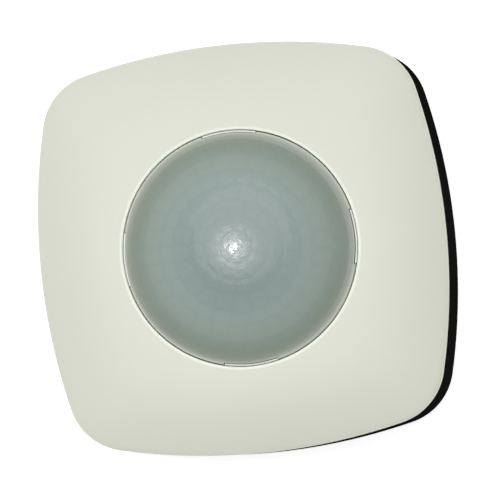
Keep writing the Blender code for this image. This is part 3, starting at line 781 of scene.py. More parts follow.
# --- Power parts ---
# The mains side: a sealed relay, a small laminated transformer in yellow tape, a film capacitor,
# an electrolytic capacitor, a round fuse and a dipped varistor, all with leads through the board.

RELAY_LEADS = ((0.0014, 0.002), (0.0090, 0.002), (0.0052, 0.0045), (0.0014, 0.0165), (0.0090, 0.0165))
LEAD_REACH = 0.0025
FOOT_BEVEL = 0.0002
COIL_SIDE = 0.0062
PLATES = 16
PLATE_GAP = 0.0005
PLATE_THICKNESS = 0.00038
CORE_LEG = 0.0022
CORE_YOKE = 0.0024


def casing(bm, low, high, radius=0.0008, seam=0.0012, step_in=0.00018):
    """A moulded case with rounded corners, a seam groove round its foot and a chamfered top."""
    level = low.z + seam
    lip = min(0.0005, 0.8 * radius)
    foot = [(0.0002, low.z), (0, low.z + FOOT_BEVEL)]
    if seam > FOOT_BEVEL + 0.0001:
        foot.append((0, level - 0.0001))
    layers(bm, [(rounded(low, high, radius, inset), height) for inset, height in foot + [
        (step_in, level), (step_in, level + 0.0002), (0, level + 0.0003), (0, high.z - lip),
        (0.3 * lip, high.z - 0.3 * lip), (lip, high.z),
    ]])


relay_black = moulded(
    "relay_black", (0.012, 0.012, 0.013), (0.02, 0.02, 0.021), roughness=0.3, depth=0.000008,
)
film_blue = moulded("film_blue", (0.035, 0.12, 0.42), (0.028, 0.095, 0.34), roughness=0.22, depth=0.000006)
dipped_blue = moulded(
    "dipped_blue", (0.03, 0.14, 0.40), (0.022, 0.10, 0.31), patch=260, grain=700, depth=0.00003,
    roughness=0.3,
)
tape_yellow = moulded(
    "tape_yellow", (0.74, 0.50, 0.05), (0.60, 0.38, 0.03), patch=300, grain=1800, roughness=0.25,
)
core_steel = metal("core_steel", (0.20, 0.19, 0.18), (0.10, 0.10, 0.10), scale=1500.0, roughness=0.45)

bm = bmesh.new()
low, high, _ = box("relay")
casing(bm, low, high)
turned(bm, [
    (0, high.z - 0.0002), (0.0009, high.z - 0.0002), (0.0008, high.z + 0.00002), (0, high.z + 0.00002),
], (low.x + 0.002, low.y + 0.002), 20)
make("relay_case", bm, relay_black, "base", "black_plastic", "relay")
leads += [(low.x + x, low.y + y) for x, y in RELAY_LEADS]

bm = bmesh.new()
low, high, middle = box("mains_capacitor")
casing(bm, low, high, 0.0010, 0.0003)
make("film_capacitor", bm, film_blue, "base", "blue_plastic", "mains_capacitor")
leads += [(low.x + 0.0015, middle.y), (high.x - 0.0015, middle.y)]

bm = bmesh.new()
low, high, middle = box("transformer")
for side in (-1, 1):
    y = middle.y + side * COIL_SIDE
    block(bm, (low.x + 0.0012, y - 0.0023, low.z), (high.x - 0.0012, y + 0.0023, low.z + 0.0014), 0.0002)
    leads += [(middle.x + x, y) for x in (-0.005, 0, 0.005)]
coil_inset = Vector((0.0022, 0, 0.0016))
casing(bm, low + coil_inset, high - coil_inset, 0.0024, 0.0004, 0.0001)
make("transformer_winding", bm, tape_yellow, "base", "yellow_plastic", "transformer")

stack, count, gap, plate_size = sprout("lamination_stack", {
    "Count": "Int", "Gap": "Float", "Plate": "Vector",
})
row = step(stack, "GeometryNodeMeshLine", {"Count": count, "Offset": triple(stack, y=gap)})
plate = step(stack, "GeometryNodeMeshCube", {"Size": plate_size})
ended(stack, repeated(stack, row, plate))
yoke = (high.x - low.x, PLATE_THICKNESS, CORE_YOKE)
leg = (CORE_LEG, PLATE_THICKNESS, high.z - low.z - 0.0044)
for i, (x, z, size) in enumerate((
    (middle.x, high.z - CORE_YOKE / 2, yoke), (middle.x, low.z + CORE_YOKE / 2, yoke),
    (low.x + CORE_LEG / 2, middle.z, leg), (high.x - CORE_LEG / 2, middle.z, leg),
), 1):
    first = (x, middle.y - PLATE_GAP * (PLATES - 1) / 2, z)
    core = grown(f"transformer_core_{i}", stack, dots([first]), core_steel, {
        "Count": PLATES, "Gap": PLATE_GAP, "Plate": size,
    })
    fixed(core, "base", "steel")

low, high, middle = box("smoothing_capacitor")
r = (high.x - low.x) / 2
can, tool, sleeve = bmesh.new(), bmesh.new(), bmesh.new()
turned(can, [
    (0, low.z), (r - 0.0005, low.z), (r - 0.0001, low.z + 0.0003), (r, low.z + 0.0006), (r, low.z + 0.0014),
    (r - 0.0004, low.z + 0.0018), (r - 0.0004, low.z + 0.0022), (r, low.z + 0.0026), (r, high.z - 0.0008),
    (r - 0.0001, high.z - 0.0003), (r - 0.0005, high.z), (r - 0.0009, high.z), (r - 0.0010, high.z - 0.0003),
    (0, high.z - 0.0003),
], middle[:2], 48)
for turn in (math.pi / 4, -math.pi / 4):
    spin = Matrix.Translation((middle.x, middle.y, 0)) @ Matrix.Rotation(turn, 4, "Z")
    block(tool, (-0.0034, -0.00012, high.z - 0.0005), (0.0034, 0.00012, high.z + CUT), tilt=spin)
make("capacitor_can", can, tinned, "base", "tinned_metal", "smoothing_capacitor", cut=tool)
skin = r + 0.00002
turned(sleeve, [
    (skin - 0.0002, low.z + 0.0027), (skin, low.z + 0.0028), (skin, high.z - 0.0006),
    (skin - 0.0002, high.z - 0.0004),
], middle[:2], 48)
make("capacitor_sleeve", sleeve, relay_black, "base", "black_plastic")
leads += [(middle.x - LEAD_REACH, middle.y), (middle.x + LEAD_REACH, middle.y)]

bm = bmesh.new()
low, high, middle = box("fuse")
r = (high.x - low.x) / 2
turned(bm, [
    (0, low.z), (r - 0.0002, low.z), (r, low.z + 0.0002), (r, low.z + 0.0012), (r - 0.0003, low.z + 0.0014),
    (r - 0.0003, low.z + 0.0017), (r - 0.0001, low.z + 0.0019), (r - 0.0002, high.z - 0.0006),
    (r - 0.0005, high.z - 0.0002), (r - 0.0010, high.z), (0, high.z),
], middle[:2], 40)
make("fuse_case", bm, relay_black, "base", "black_plastic", "fuse")
leads += [(middle.x, middle.y - LEAD_REACH), (middle.x, middle.y + LEAD_REACH)]

bm = bmesh.new()
low, high, middle = box("varistor")
r = (high.y - low.y) / 2
half = (high.x - low.x) / 2
bulge = [(r * 0.45, half * 0.97), (r * 0.78, half * 0.80), (r * 0.94, half * 0.45)]
profile = [(0, -half)] + [(out, -up) for out, up in bulge] + [(r, 0)] + bulge[::-1] + [(0, half)]
turned(bm, profile, steps=44, tilt=Matrix.Translation(middle) @ Matrix.Rotation(math.pi / 2, 4, "Y"))
for side in (-1, 1):
    foot = (middle.x + side * 0.0009, middle.y + side * LEAD_REACH)
    turned(bm, [
        (0, low.z), (0.0005, low.z), (0.0009, low.z + 0.0016), (0.0009, low.z + 0.003), (0, low.z + 0.003),
    ], foot, 16)
    leads.append(foot)
make("varistor_disc", bm, dipped_blue, "base", "blue_plastic", "varistor", sharp=50)

# --- Board link ---
# Six square pins in a black strip on the power board, which plug into a socket under the sensor
# board when the sensor head is fitted.

LINK_PINS = 6
LINK_PITCH = 0.00254
PIN_WIDTH = 0.00064
PIN_BELOW = 0.0011
link_black = moulded("link_black", (0.010, 0.010, 0.011), (0.017, 0.017, 0.018), grain=3000, roughness=0.4)
low, high, middle = box("link_header")
link_places = [(LINK_PITCH * (i - (LINK_PINS - 1) / 2), middle.y) for i in range(LINK_PINS)]
bm = bmesh.new()
for x, _ in link_places:
    block(bm, (x - LINK_PITCH / 2, low.y, low.z), (x + LINK_PITCH / 2, high.y, low.z + 0.0025), 0.0004)
make("link_strip", bm, link_black, "base", "black_plastic", "link_header")

pegs, width, length = sprout("square_pins", {"Width": "Float", "Length": "Float"})
bar = step(pegs, "GeometryNodeMeshCube", {"Size": triple(pegs, width, width, length), "Vertices Z": 4})
x, y, z = position(pegs)
tip = abs(z) > length * 0.4
narrow = tip * -0.5
ended(pegs, pushed(pegs, bar, x * narrow, y * narrow, (1.0 - tip) * (z * 1.7)))
pin_low = power_low.z - PIN_BELOW
pins = grown("link_pins", pegs, dots([(*place, (pin_low + high.z) / 2) for place in link_places]), tinned, {
    "Width": PIN_WIDTH, "Length": high.z - pin_low,
})
fixed(pins, "base", "tinned_metal")

# --- Solder joints ---
# Every lead of the power board ends in a small bright cone of solder under it.

joints, fillet, height, lead, reach = sprout("solder_joints", {
    "Fillet": "Float", "Height": "Float", "Lead": "Float", "Reach": "Float",
})
cone = step(joints, "GeometryNodeMeshCone", {
    "Vertices": 12, "Side Segments": 3, "Radius Top": lead, "Radius Bottom": fillet, "Depth": height,
})
_, _, z = position(joints)
sagged = swollen(joints, cone, (z * math.pi / height).sine() * -0.22)
wire = step(joints, "GeometryNodeMeshCylinder", {"Vertices": 10, "Radius": lead, "Depth": reach})
wired = shifted(joints, wire, Translation=triple(joints, z=reach * 0.5 - height * 1.35))
ended(joints, joined(joints, shifted(joints, sagged, Scale=(1, -1, -1)), wired))


def soldered(name, ride_on, leads, level, fillet, height, lead, reach):
    """The solder joints of a board at the places of its leads."""
    piece = grown(name, joints, dots([(x, y, level) for x, y in leads]), tinned, {
        "Fillet": fillet, "Height": height, "Lead": lead, "Reach": reach,
    }, 50)
    fixed(piece, ride_on, "tinned_metal")


soldered("power_board_solder", "base", leads + link_places, power_low.z, 0.00095, 0.0009, 0.00035, 0.0032)

# --- Sensor board ---
# The upper board, cut to the outline of the housing, on two bosses of the sensor carrier. Two
# short screws hold it from below.

SENSOR_SCREWS = ("sensor_board_screw_1", "sensor_board_screw_2")
PIN_HOLE = 0.0006
PIN_FUNNEL = 0.0011
board_low, board_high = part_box("sensor_board")


def sheet(bm, edge, low, high, bevel=0.00015):
    """A flat plate with the housing's outline, its edge at this half width."""
    inset = half_width - edge
    layers(bm, [
        (pillow(inset + bevel), low), (pillow(inset), low + bevel), (pillow(inset), high - bevel),
        (pillow(inset + bevel), high),
    ])


def around(nodes, radius):
    """The middles of these nodes, each with a radius, as (x, y, radius)."""
    middles = [box(node)[2] for node in nodes]
    return [(middle.x, middle.y, radius) for middle in middles]


def post_holes(radius):
    """Round holes over the four posts of the housing, as (x, y, radius)."""
    return [(x, y, radius) for x, y in corners(*POST_PLACE)]


bm = bmesh.new()
sheet(bm, board_high.x, board_low.z, board_high.z)
holes = post_holes(0.0042) + around(SENSOR_SCREWS, 0.0014)
make("sensor_board_part", bm, solder_mask, "sensor_head", "circuit_board", "sensor_board",
     cut=drills(holes, board_low.z - CUT, board_high.z + CUT))
screws("sensor_board_screws", "sensor_head", SENSOR_SCREWS, 0.0045, 0.0010, 0.0008, -1)

low, high, middle = box("link_socket")
bm, tool = bmesh.new(), bmesh.new()
block(bm, low, high, 0.0003)
for x, _ in link_places:
    for half, depth in ((PIN_HOLE, 0.0045), (PIN_FUNNEL, 0.0005)):
        block(tool, (x - half, middle.y - half, low.z - CUT), (x + half, middle.y + half, low.z + depth))
for side in (-1, 1):
    for x, _ in link_places[:-1]:
        groove = x + LINK_PITCH / 2
        y = middle.y + side * 0.0030
        block(tool, (groove - 0.0002, y - 0.0006, low.z - CUT), (groove + 0.0002, y + 0.0006, high.z + CUT))
make("link_socket_part", bm, link_black, "sensor_head", "black_plastic", "link_socket", cut=tool)

# --- Infrared sensors ---
# Four pyroelectric detectors in drawn metal cans with a rolled flange and a locating tab, each
# with a dark infrared filter in its top. They look out through the lens.

LEAD_CIRCLE = 0.0025
LEAD_TURNS = np.radians((45, 135, 270))
TAB_TURN = math.radians(-135)
FILTER_GAP = 0.0001
PYRO_CANS = four("pyro_sensor")
PYRO_WINDOWS = four("pyro_window")
filter_glass, tree, shader = material("filter_glass", roughness=0.08, Coat_Weight=0.6, Coat_Roughness=0.03)
film = noise(tree, own_place(tree), 420.0, 1.0)
feed(shader, {"Base Color": blended(tree, film, (0.018, 0.014, 0.028, 1), (0.035, 0.020, 0.030, 1))})

# Where the leads of the sensor board's parts come through it, the status lamp's two first.
leads = [(-0.0006, 0), (0.0006, 0)]
cans, tool, filters = bmesh.new(), bmesh.new(), bmesh.new()
for node, window in zip(PYRO_CANS, PYRO_WINDOWS):
    low, high, middle = box(node)
    flange = (high.x - low.x) / 2
    can = flange - 0.0005
    turned(cans, [
        (0, low.z), (flange - 0.0002, low.z), (flange, low.z + 0.0002), (flange, low.z + 0.0005),
        (flange - 0.0001, low.z + 0.0006), (can + 0.0002, low.z + 0.0007), (can, low.z + 0.0010),
        (can, high.z - 0.0007), (can - 0.0002, high.z - 0.0003), (can - 0.0006, high.z), (0, high.z),
    ], middle[:2], 44)
    tab = Matrix.Translation((middle.x, middle.y, 0)) @ Matrix.Rotation(TAB_TURN, 4, "Z")
    block(cans, (flange - 0.0003, -0.0004, low.z + 0.0001), (flange + 0.0004, 0.0004, low.z + 0.0005),
          0.0001, tab)
    leads += [tuple(place) for place in arc(LEAD_CIRCLE, LEAD_TURNS, middle[:2])]
    a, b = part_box(window)
    block(tool, (a.x - FILTER_GAP, a.y - FILTER_GAP, high.z - 0.0005),
          (b.x + FILTER_GAP, b.y + FILTER_GAP, high.z + CUT))
    block(filters, a, (b.x, b.y, b.z - 0.00006), 0.00008)
make("pyro_cans", cans, tinned, "sensor_head", "tinned_metal", *PYRO_CANS, cut=tool)
make("pyro_filters", filters, filter_glass, "sensor_head", "dark_glass", *PYRO_WINDOWS)

# --- Board lights and chip ---
# A round status lamp in the middle, a light sensor with its clear guide, and the control chip
# with legs on its four sides.

CHIP_HALF = 0.0028
LEGS_A_SIDE = 8
LEG_PITCH = 0.00065
clear_plastic, tree, shader = material(
    "clear_plastic", roughness=0.10, Transmission_Weight=0.55, IOR=1.49, Coat_Weight=0.3,
    Coat_Roughness=0.05,
)
haze = noise(tree, own_place(tree), 300.0)
feed(shader, {"Base Color": blended(tree, haze, (0.80, 0.86, 0.84, 1), (0.68, 0.75, 0.73, 1))})

low, high, _ = box("status_led")
dome = high.x - 0.0002
dome_points = arc(dome, np.linspace(0, math.pi / 2, 9), (0, high.z - dome))[:-1]
bm = bmesh.new()
turned(bm, [
    (0, low.z), (high.x - 0.0001, low.z), (high.x, low.z + 0.0001), (high.x, low.z + 0.0005),
    (dome, low.z + 0.0006), *dome_points, (0, high.z),
])
make("status_lamp", bm, clear_plastic, "sensor_head", "clear_plastic", "status_led", sharp=50)
bm = bmesh.new()
block(bm, (-0.0007, -0.00015, low.z + 0.0002), (-0.0001, 0.00015, low.z + 0.0017), 0.00005)
block(bm, (0.0001, -0.00015, low.z + 0.0002), (0.0008, 0.00015, low.z + 0.0020), 0.00005)
make("status_lamp_frame", bm, tinned, "sensor_head", "tinned_metal")

low, high, middle = box("light_sensor")
bm = bmesh.new()
block(bm, low, (high.x, high.y, high.z - 0.00025), 0.0001)
turned(bm, [
    (0, high.z - 0.0003), (0.0009, high.z - 0.0003), (0.0008, high.z - 0.0001), (0.0004, high.z),
    (0, high.z),
], middle[:2], 24)
make("light_sensor_part", bm, filter_glass, "sensor_head", "dark_glass", "light_sensor")
low, high, middle = box("light_guide")
r = (high.x - low.x) / 2
bm = bmesh.new()
turned(bm, [
    (0, low.z), (r * 0.75, low.z), (r * 0.8, low.z + 0.0002), (r * 0.8, low.z + 0.0022), (r, low.z + 0.0026),
    (r, high.z - 0.0006), (r - 0.0003, high.z - 0.0002), (r * 0.5, high.z - 0.00004), (0, high.z),
], middle[:2], 36)
make("light_guide_part", bm, clear_plastic, "sensor_head", "clear_plastic", "light_guide", sharp=40)

chip_black = moulded("chip_black", (0.014, 0.014, 0.015), (0.024, 0.024, 0.026), patch=400, roughness=0.5)
low, high, middle = box("control_chip")
bm, tool = bmesh.new(), bmesh.new()
block(bm, (middle.x - CHIP_HALF, middle.y - CHIP_HALF, low.z + 0.0001),
      (middle.x + CHIP_HALF, middle.y + CHIP_HALF, high.z), 0.00012)
dot_place = (middle.x - CHIP_HALF + 0.0009, middle.y + CHIP_HALF - 0.0009)
peg(tool, 0.0003, high.z - 0.0001, high.z + CUT, dot_place, 20)
make("chip_case", bm, chip_black, "sensor_head", "black_plastic", "control_chip", cut=tool)

leg_rows, count, pitch, inner, outer, height = sprout("chip_legs", {
    "Count": "Int", "Pitch": "Float", "Inner": "Float", "Outer": "Float", "Height": "Float",
})
run = outer - inner
leg = step(leg_rows, "GeometryNodeMeshCube", {
    "Size": triple(leg_rows, run, pitch * 0.45, height * 0.25), "Vertices X": 9,
})
x, _, _ = position(leg_rows)
bend = number(leg_rows, "ShaderNodeMapRange", {
    "Value": x / run, "From Min": -0.25, "From Max": 0.1, "To Min": 0.85, "To Max": 0.0,
}, interpolation_type="SMOOTHSTEP")
start = triple(leg_rows, (inner + outer) * 0.5, (count - 1.0) * pitch * -0.5, height * 0.13)
row = step(leg_rows, "GeometryNodeMeshLine", {
    "Count": count, "Start Location": start, "Offset": triple(leg_rows, y=pitch),
})
side = repeated(leg_rows, row, pushed(leg_rows, leg, z=bend * height))
sides = [shifted(leg_rows, side, Rotation=(0, 0, i * math.pi / 2)) for i in range(4)]
ended(leg_rows, joined(leg_rows, *sides))
legs = grown("chip_legs", leg_rows, dots([(middle.x, middle.y, low.z)]), tinned, {
    "Count": LEGS_A_SIDE, "Pitch": LEG_PITCH, "Inner": CHIP_HALF - 0.0001, "Outer": high.x - middle.x,
    "Height": 0.0005,
})
fixed(legs, "sensor_head", "tinned_metal")

# --- Small parts on the sensor board ---
# Chip resistors and ceramic capacitors with tinned ends, in rows between the detectors and the
# settings.

MM = 0.001
ceramic = moulded("ceramic", (0.30, 0.20, 0.12), (0.22, 0.15, 0.09), patch=900, grain=4000, roughness=0.4)
# The place of each chip in millimetres, and whether it stands along Y.
chips = [(-24 + 4 * i, 15.5, False) for i in range(3)] + [(17 + 4 * i, -15.5, False) for i in range(3)]
chips += [(-9 + 3 * i, -31, True) for i in range(7)] + [(33, -8 + 4 * i, False) for i in range(5)]
chips += [(-33, -12 + 4 * i, False) for i in range(7)] + [(x, 0, True) for x in (-18, -14, 14, 18)]
chip_cores, chip_ends = bmesh.new(), bmesh.new()
for x, y, upright in chips:
    for bm, start, end, top in (
        (chip_cores, -0.65, 0.65, 0.52), (chip_ends, -1.0, -0.6, 0.56), (chip_ends, 0.6, 1.0, 0.56),
    ):
        a, b = (start, -0.6), (end, 0.6)
        if upright:
            a, b = a[::-1], b[::-1]
        block(bm, ((x + a[0]) * MM, (y + a[1]) * MM, board_high.z),
              ((x + b[0]) * MM, (y + b[1]) * MM, board_high.z + top * MM), 0.00005)
make("chip_resistors", chip_cores, ceramic, "sensor_head", "black_plastic")
make("chip_resistor_ends", chip_ends, tinned, "sensor_head", "tinned_metal")

# --- Settings ---
# Three trimmers with white dials for time, light and range, a four-way switch block with white
# sliders, and a push switch with an orange button. All are reached when the cover is off.

SETTINGS = ("time", "light", "range")
DIAL_TEETH = 32.0
TOOTH_DEPTH = 0.00025
SLIDER_HALF = 0.00075
PUSH_HOLE = 0.0021
dial_white = moulded("dial_white", (0.72, 0.73, 0.70), (0.64, 0.65, 0.62), grain=3000, roughness=0.36)
switch_blue = moulded("switch_blue", (0.03, 0.12, 0.46), (0.022, 0.09, 0.36), patch=200, roughness=0.34)
knurl, radius, height, teeth, depth = sprout("dial_knurl", {
    "Radius": "Float", "Height": "Float", "Teeth": "Float", "Depth": "Float",
})
drum = step(knurl, "GeometryNodeMeshCylinder", {
    "Vertices": 192, "Side Segments": 8, "Fill Segments": 3, "Radius": radius, "Depth": height,
})
z, out, bearing = radial(knurl)
ridge = ((bearing * teeth).zigzag(0.5) * 2.0) ** 1.5
level = abs(z / height)
gripped = (level < 0.4) * (out / radius > 0.95)
bite = depth * (ridge * gripped + (level > 0.45) * 0.7) / radius
ended(knurl, swollen(knurl, drum, bite * -1.0))

for word in SETTINGS:
    low, high, middle = box(f"{word}_trimmer")
    bm = bmesh.new()
    casing(bm, low, high, 0.0006, 0.0008, 0.0001)
    make(f"{word}_trimmer_part", bm, switch_blue, "sensor_head", "blue_plastic", f"{word}_trimmer")
    leads += [(middle.x + x, middle.y + y) for x, y in ((-0.0025, -0.0025), (-0.0025, 0.0025), (0.0025, 0))]
    low, high, middle = box(f"{word}_dial")
    dial = grown(f"{word}_dial_part", knurl, dots([middle]), dial_white, {
        "Radius": (high.x - low.x) / 2, "Height": high.z - low.z, "Teeth": DIAL_TEETH, "Depth": TOOTH_DEPTH,
    })
    tool = bmesh.new()
    block(tool, (middle.x - 0.0021, middle.y - 0.00045, high.z - 0.0012),
          (middle.x + 0.0021, middle.y + 0.00045, high.z + CUT))
    arrow = np.array([(-0.0006, 0.0013), (0.0006, 0.0013), (0, 0.0026)]) + middle[:2]
    layers(tool, [(arrow, high.z - 0.0003), (arrow, high.z + CUT)])
    carved(dial, tool)
    fixed(dial, f"{word}_dial", "white_plastic", f"{word}_dial")

low, high, _ = box("dip_switch")
sliders = four("dip_slider")
bm, tool = bmesh.new(), bmesh.new()
casing(bm, low, high, 0.0003, 0.0006, 0.0001)
for node in sliders:
    a, b, middle = box(node)
    block(tool, (a.x - 0.0004, middle.y - SLIDER_HALF, a.z - 0.0004),
          (b.x + 0.0024, middle.y + SLIDER_HALF, high.z + CUT))
    leads += [(low.x + 0.0004, middle.y), (high.x - 0.0004, middle.y)]
make("dip_switch_part", bm, switch_blue, "sensor_head", "blue_plastic", "dip_switch", cut=tool)
for i, node in enumerate(sliders, 1):
    a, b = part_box(node)
    bm = bmesh.new()
    block(bm, a, (b.x, b.y, b.z - 0.0004), 0.0001)
    block(bm, (a.x + 0.0002, a.y, a.z + 0.0005), (b.x - 0.0002, b.y, b.z), 0.0001)
    make(f"dip_slider_part_{i}", bm, dial_white, node, "white_plastic", node)

low, high, middle = box("button_switch")
push_hole = [(middle.x, middle.y, PUSH_HOLE)]
bm = bmesh.new()
casing(bm, low, high - Vector((0, 0, 0.0003)), 0.0005, 0.0008, 0.0001)
make("push_switch_part", bm, link_black, "sensor_head", "black_plastic", "button_switch",
     cut=drills(push_hole, high.z - 0.0014, high.z + CUT))
bm = bmesh.new()
plank(bm, (low.x + 0.0002, low.y + 0.0002, high.z - 0.0003), (high.x - 0.0002, high.y - 0.0002, high.z),
      0.0005, 0.00005)
make("push_switch_plate", bm, tinned, "sensor_head", "tinned_metal",
     cut=drills(push_hole, high.z - CUT, high.z + CUT))
bm = bmesh.new()
for x, y in corners(0.0023, 0.0023):
    turned(bm, [
        (0, high.z - 0.0001), (0.0004, high.z - 0.0001), (0.00032, high.z + 0.0001), (0, high.z + 0.00014),
    ], (middle.x + x, middle.y + y), 16)
make("push_switch_rivets", bm, link_black, "sensor_head", "black_plastic")
leads += [(middle.x + x, middle.y + y) for x, y in corners(0.0026, 0.0022)]

low, high, middle = box("programming_button")
r = (high.x - low.x) / 2
bm = bmesh.new()
turned(bm, [
    (0, low.z), (r - 0.0002, low.z), (r, low.z + 0.0002), (r, high.z - 0.0004), (r - 0.0001, high.z - 0.0001),
    (r - 0.0004, high.z), (r - 0.0008, high.z - 0.0001), (r * 0.3, high.z - 0.0003), (0, high.z - 0.00032),
], middle[:2], 36)
make("programming_button_part", bm, button_orange, "programming_button", "orange_plastic",
     "programming_button", sharp=50)
soldered("sensor_board_solder", "sensor_head", leads, board_low.z, 0.0008, 0.0007, 0.00028, 0.0028)

# --- Sensor carrier ---
# The black inner frame: a plate over the sensor board with openings for the detectors and the
# settings, and bosses for the board's screws. Four long screws hold it on the housing's posts.

CARRIER_PLATE = 0.0020
SWITCH_GAP = 0.0005
RIB_PLACE = (0.050, 0.022)
SCALE_RADIUS = 0.0043
SCALE_MARKS = 11
carrier_low, carrier_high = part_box("sensor_carrier")
plate_low = carrier_high.z - CARRIER_PLATE
boss_top = plate_low + 0.0002
carrier_black = moulded(
    "carrier_black", (0.016, 0.016, 0.016), (0.026, 0.026, 0.025), grain=1800, depth=0.00004, roughness=0.5,
)
plate = bmesh.new()
sheet(plate, carrier_high.x, plate_low, carrier_high.z, 0.0003)
dials = [f"{word}_dial" for word in SETTINGS]
holes = [(0, 0, 0.0020), (0, 0.021, 0.0024)] + post_holes(0.0017)
holes += around(PYRO_CANS, 0.0050) + around(dials, 0.0039)
tool = drills(holes, plate_low - CUT, carrier_high.z + CUT, 48)
for node in ("dip_switch", "button_switch"):
    low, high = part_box(node)
    block(tool, (low.x - SWITCH_GAP, low.y - SWITCH_GAP, plate_low - CUT),
          (high.x + SWITCH_GAP, high.y + SWITCH_GAP, carrier_high.z + CUT))
make("sensor_carrier_part", plate, carrier_black, "sensor_head", "black_plastic", "sensor_carrier",
     cut=tool)

bm = bmesh.new()
for x, y, radius in around(SENSOR_SCREWS, 0.0028):
    turned(bm, [
        (0.0011, carrier_low.z + 0.0002), (0.0013, carrier_low.z), (radius - 0.0002, carrier_low.z),
        (radius, carrier_low.z + 0.0002), (radius, boss_top), (0.0011, boss_top),
    ], (x, y), 28)
for x, y in corners(*RIB_PLACE):
    for half_x, half_y in ((0.002, 0.0005), (0.0006, 0.006)):
        block(bm, (x - half_x, y - half_y, carrier_low.z + 0.0004), (x + half_x, y + half_y, boss_top),
              0.0001)
for x, y, start in around(dials, SCALE_RADIUS):
    for i, turn in enumerate(np.radians(np.linspace(-45, 225, SCALE_MARKS))):
        spin = Matrix.Translation((x, y, 0)) @ Matrix.Rotation(turn, 4, "Z")
        end = start + (0.0011 if i % 5 == 0 else 0.0006)
        block(bm, (start, -0.00011, carrier_high.z - 0.0001), (end, 0.00011, carrier_high.z + 0.00012),
              tilt=spin)
make("carrier_ribs", bm, carrier_black, "sensor_head", "black_plastic")
screws("carrier_screws", "sensor_head", four("carrier_screw"), 0.0100, 0.0013, 0.0010)

# --- Lens ring ---
# A white moulded ring on the sensor carrier. Its four thin lugs rise through the gap round the
# lens, at the middle of each side, and hold the lens.

RING_INNER = 0.0310
RING_BODY = 0.0033
LUG_HALF_ANGLE = math.radians(13.25)
LUG_INNER = 0.03385
ring_low, ring_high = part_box("lens_ring")
ring_white = moulded(
    "ring_white", (0.74, 0.75, 0.71), (0.68, 0.69, 0.65), grain=3000, depth=0.00001, roughness=0.38,
)


def arc_wall(bm, inner, outer, low, high, middle, half_angle, rounding=0.00015, steps=24):
    """A curved wall standing on an arc, its top edge rounded."""
    turns = np.linspace(middle - half_angle, middle + half_angle, steps)
    layers(bm, [(np.vstack((arc(outer - inset, turns), arc(inner + inset, turns[::-1]))), height)
                for inset, height in (
                    (0, low), (0, high - rounding), (0.3 * rounding, high - 0.3 * rounding), (rounding, high),
                )])


body_top = ring_low.z + RING_BODY
bm = bmesh.new()
turned(bm, [
    (ring_high.x - 0.0002, body_top), (ring_high.x, body_top - 0.0002), (ring_high.x, ring_low.z + 0.0003),
    (ring_high.x - 0.0003, ring_low.z), (RING_INNER + 0.0003, ring_low.z), (RING_INNER, ring_low.z + 0.0003),
    (RING_INNER, body_top - 0.0002), (RING_INNER + 0.0002, body_top),
], steps=180)
for i in range(4):
    arc_wall(bm, LUG_INNER, ring_high.x, body_top - 0.0003, ring_high.z, i * math.pi / 2, LUG_HALF_ANGLE)
    arc_wall(bm, RING_INNER + 0.0004, LUG_INNER + 0.0001, body_top - 0.0003, body_top + 0.0002,
             (i + 0.5) * math.pi / 2, LUG_HALF_ANGLE * 0.4)
make("lens_ring_part", bm, ring_white, "sensor_head", "white_plastic", "lens_ring")

# --- Lens ---
# A dome of milky polyethylene. Rings of small lens facets are moulded into it, each ring
# staggered against the next, inside a plain rim. It clips between the lugs of the lens ring.

DOME_RADIUS = 0.0318
DOME_FOOT = 0.0364
RIM_RADIUS = 0.0343
RIM_EDGE = 0.0352
LENS_WALL = 0.0010
NOTCH_RADIUS = 0.03372
NOTCH_HALF_ANGLE = math.radians(13.5)
NOTCH_STEPS = 30
PLAIN_STEPS = 62
FACET_RINGS = (0.0049, 0.0097, 0.0138, 0.0188, 0.0226, 0.0279, 0.0305)
FACETS_FIRST = 5.0
FACETS_MORE = 5.0
FACET_BULGE = 0.000045
GATE_RADIUS = 0.0050
GATE_GRAIN = 0.00005
GROOVE_PITCH = 0.0008
lens_low, lens_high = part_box("lens")

facets, first_count, more, bulge, above, gate_radius, gate_grain = sprout("lens_facets", {
    "First Ring": "Float", "More Each Ring": "Float", "Bulge": "Float", "Above": "Float",
    "Gate Radius": "Float", "Gate Grain": "Float",
})
z, out, bearing = radial(facets)
ring_number, ring_start, ring_end = 0.0, 0.0, FACET_RINGS[0]
for inner, edge, outer in zip((0,) + FACET_RINGS, FACET_RINGS, FACET_RINGS[1:] + (DOME_RADIUS,)):
    beyond = out > edge
    ring_number = beyond + ring_number
    ring_start = beyond * (edge - inner) + ring_start
    ring_end = beyond * (outer - edge) + ring_end
count = ring_number * more + first_count
along = (bearing * count + ring_number * 0.5).zigzag(0.5)
across = (out - ring_start) / (ring_end - ring_start)
petal = (along * 2.0) ** 0.6 * (across * (1.0 - across))
centre_lens = 1.0 - (out / FACET_RINGS[0]) ** 3.0
swell = (petal * (ring_number.least(1.0) * 4.0)).most(centre_lens)
on_dome = (z > above) * (out < FACET_RINGS[-1])
near_gate = number(facets, "ShaderNodeMapRange", {
    "Value": out / gate_radius, "From Min": 1.0, "From Max": 0.4,
}, interpolation_type="SMOOTHSTEP")
dimples = number(facets, "ShaderNodeTexNoise", {"Scale": 900.0, "Detail": 1.0})
lowered = (swell - 1.0) * bulge - near_gate * dimples * gate_grain
marked = step(facets, "GeometryNodeStoreNamedAttribute", {
    "Geometry": facets.nodes["Group Input"].outputs["Geometry"], "Name": "facet", "Value": swell,
}, data_type="FLOAT", domain="POINT")
ended(facets, pushed(facets, marked, z=lowered * on_dome), on_points=False)


def off_axis(tree):
    """How far a point of the surface is from the sensor's axis."""
    flat = step(tree, "ShaderNodeVectorMath", {0: own_place(tree), 1: (1, 1, 0)}, operation="MULTIPLY")
    return number(tree, "ShaderNodeVectorMath", {0: flat}, "Value", operation="LENGTH")
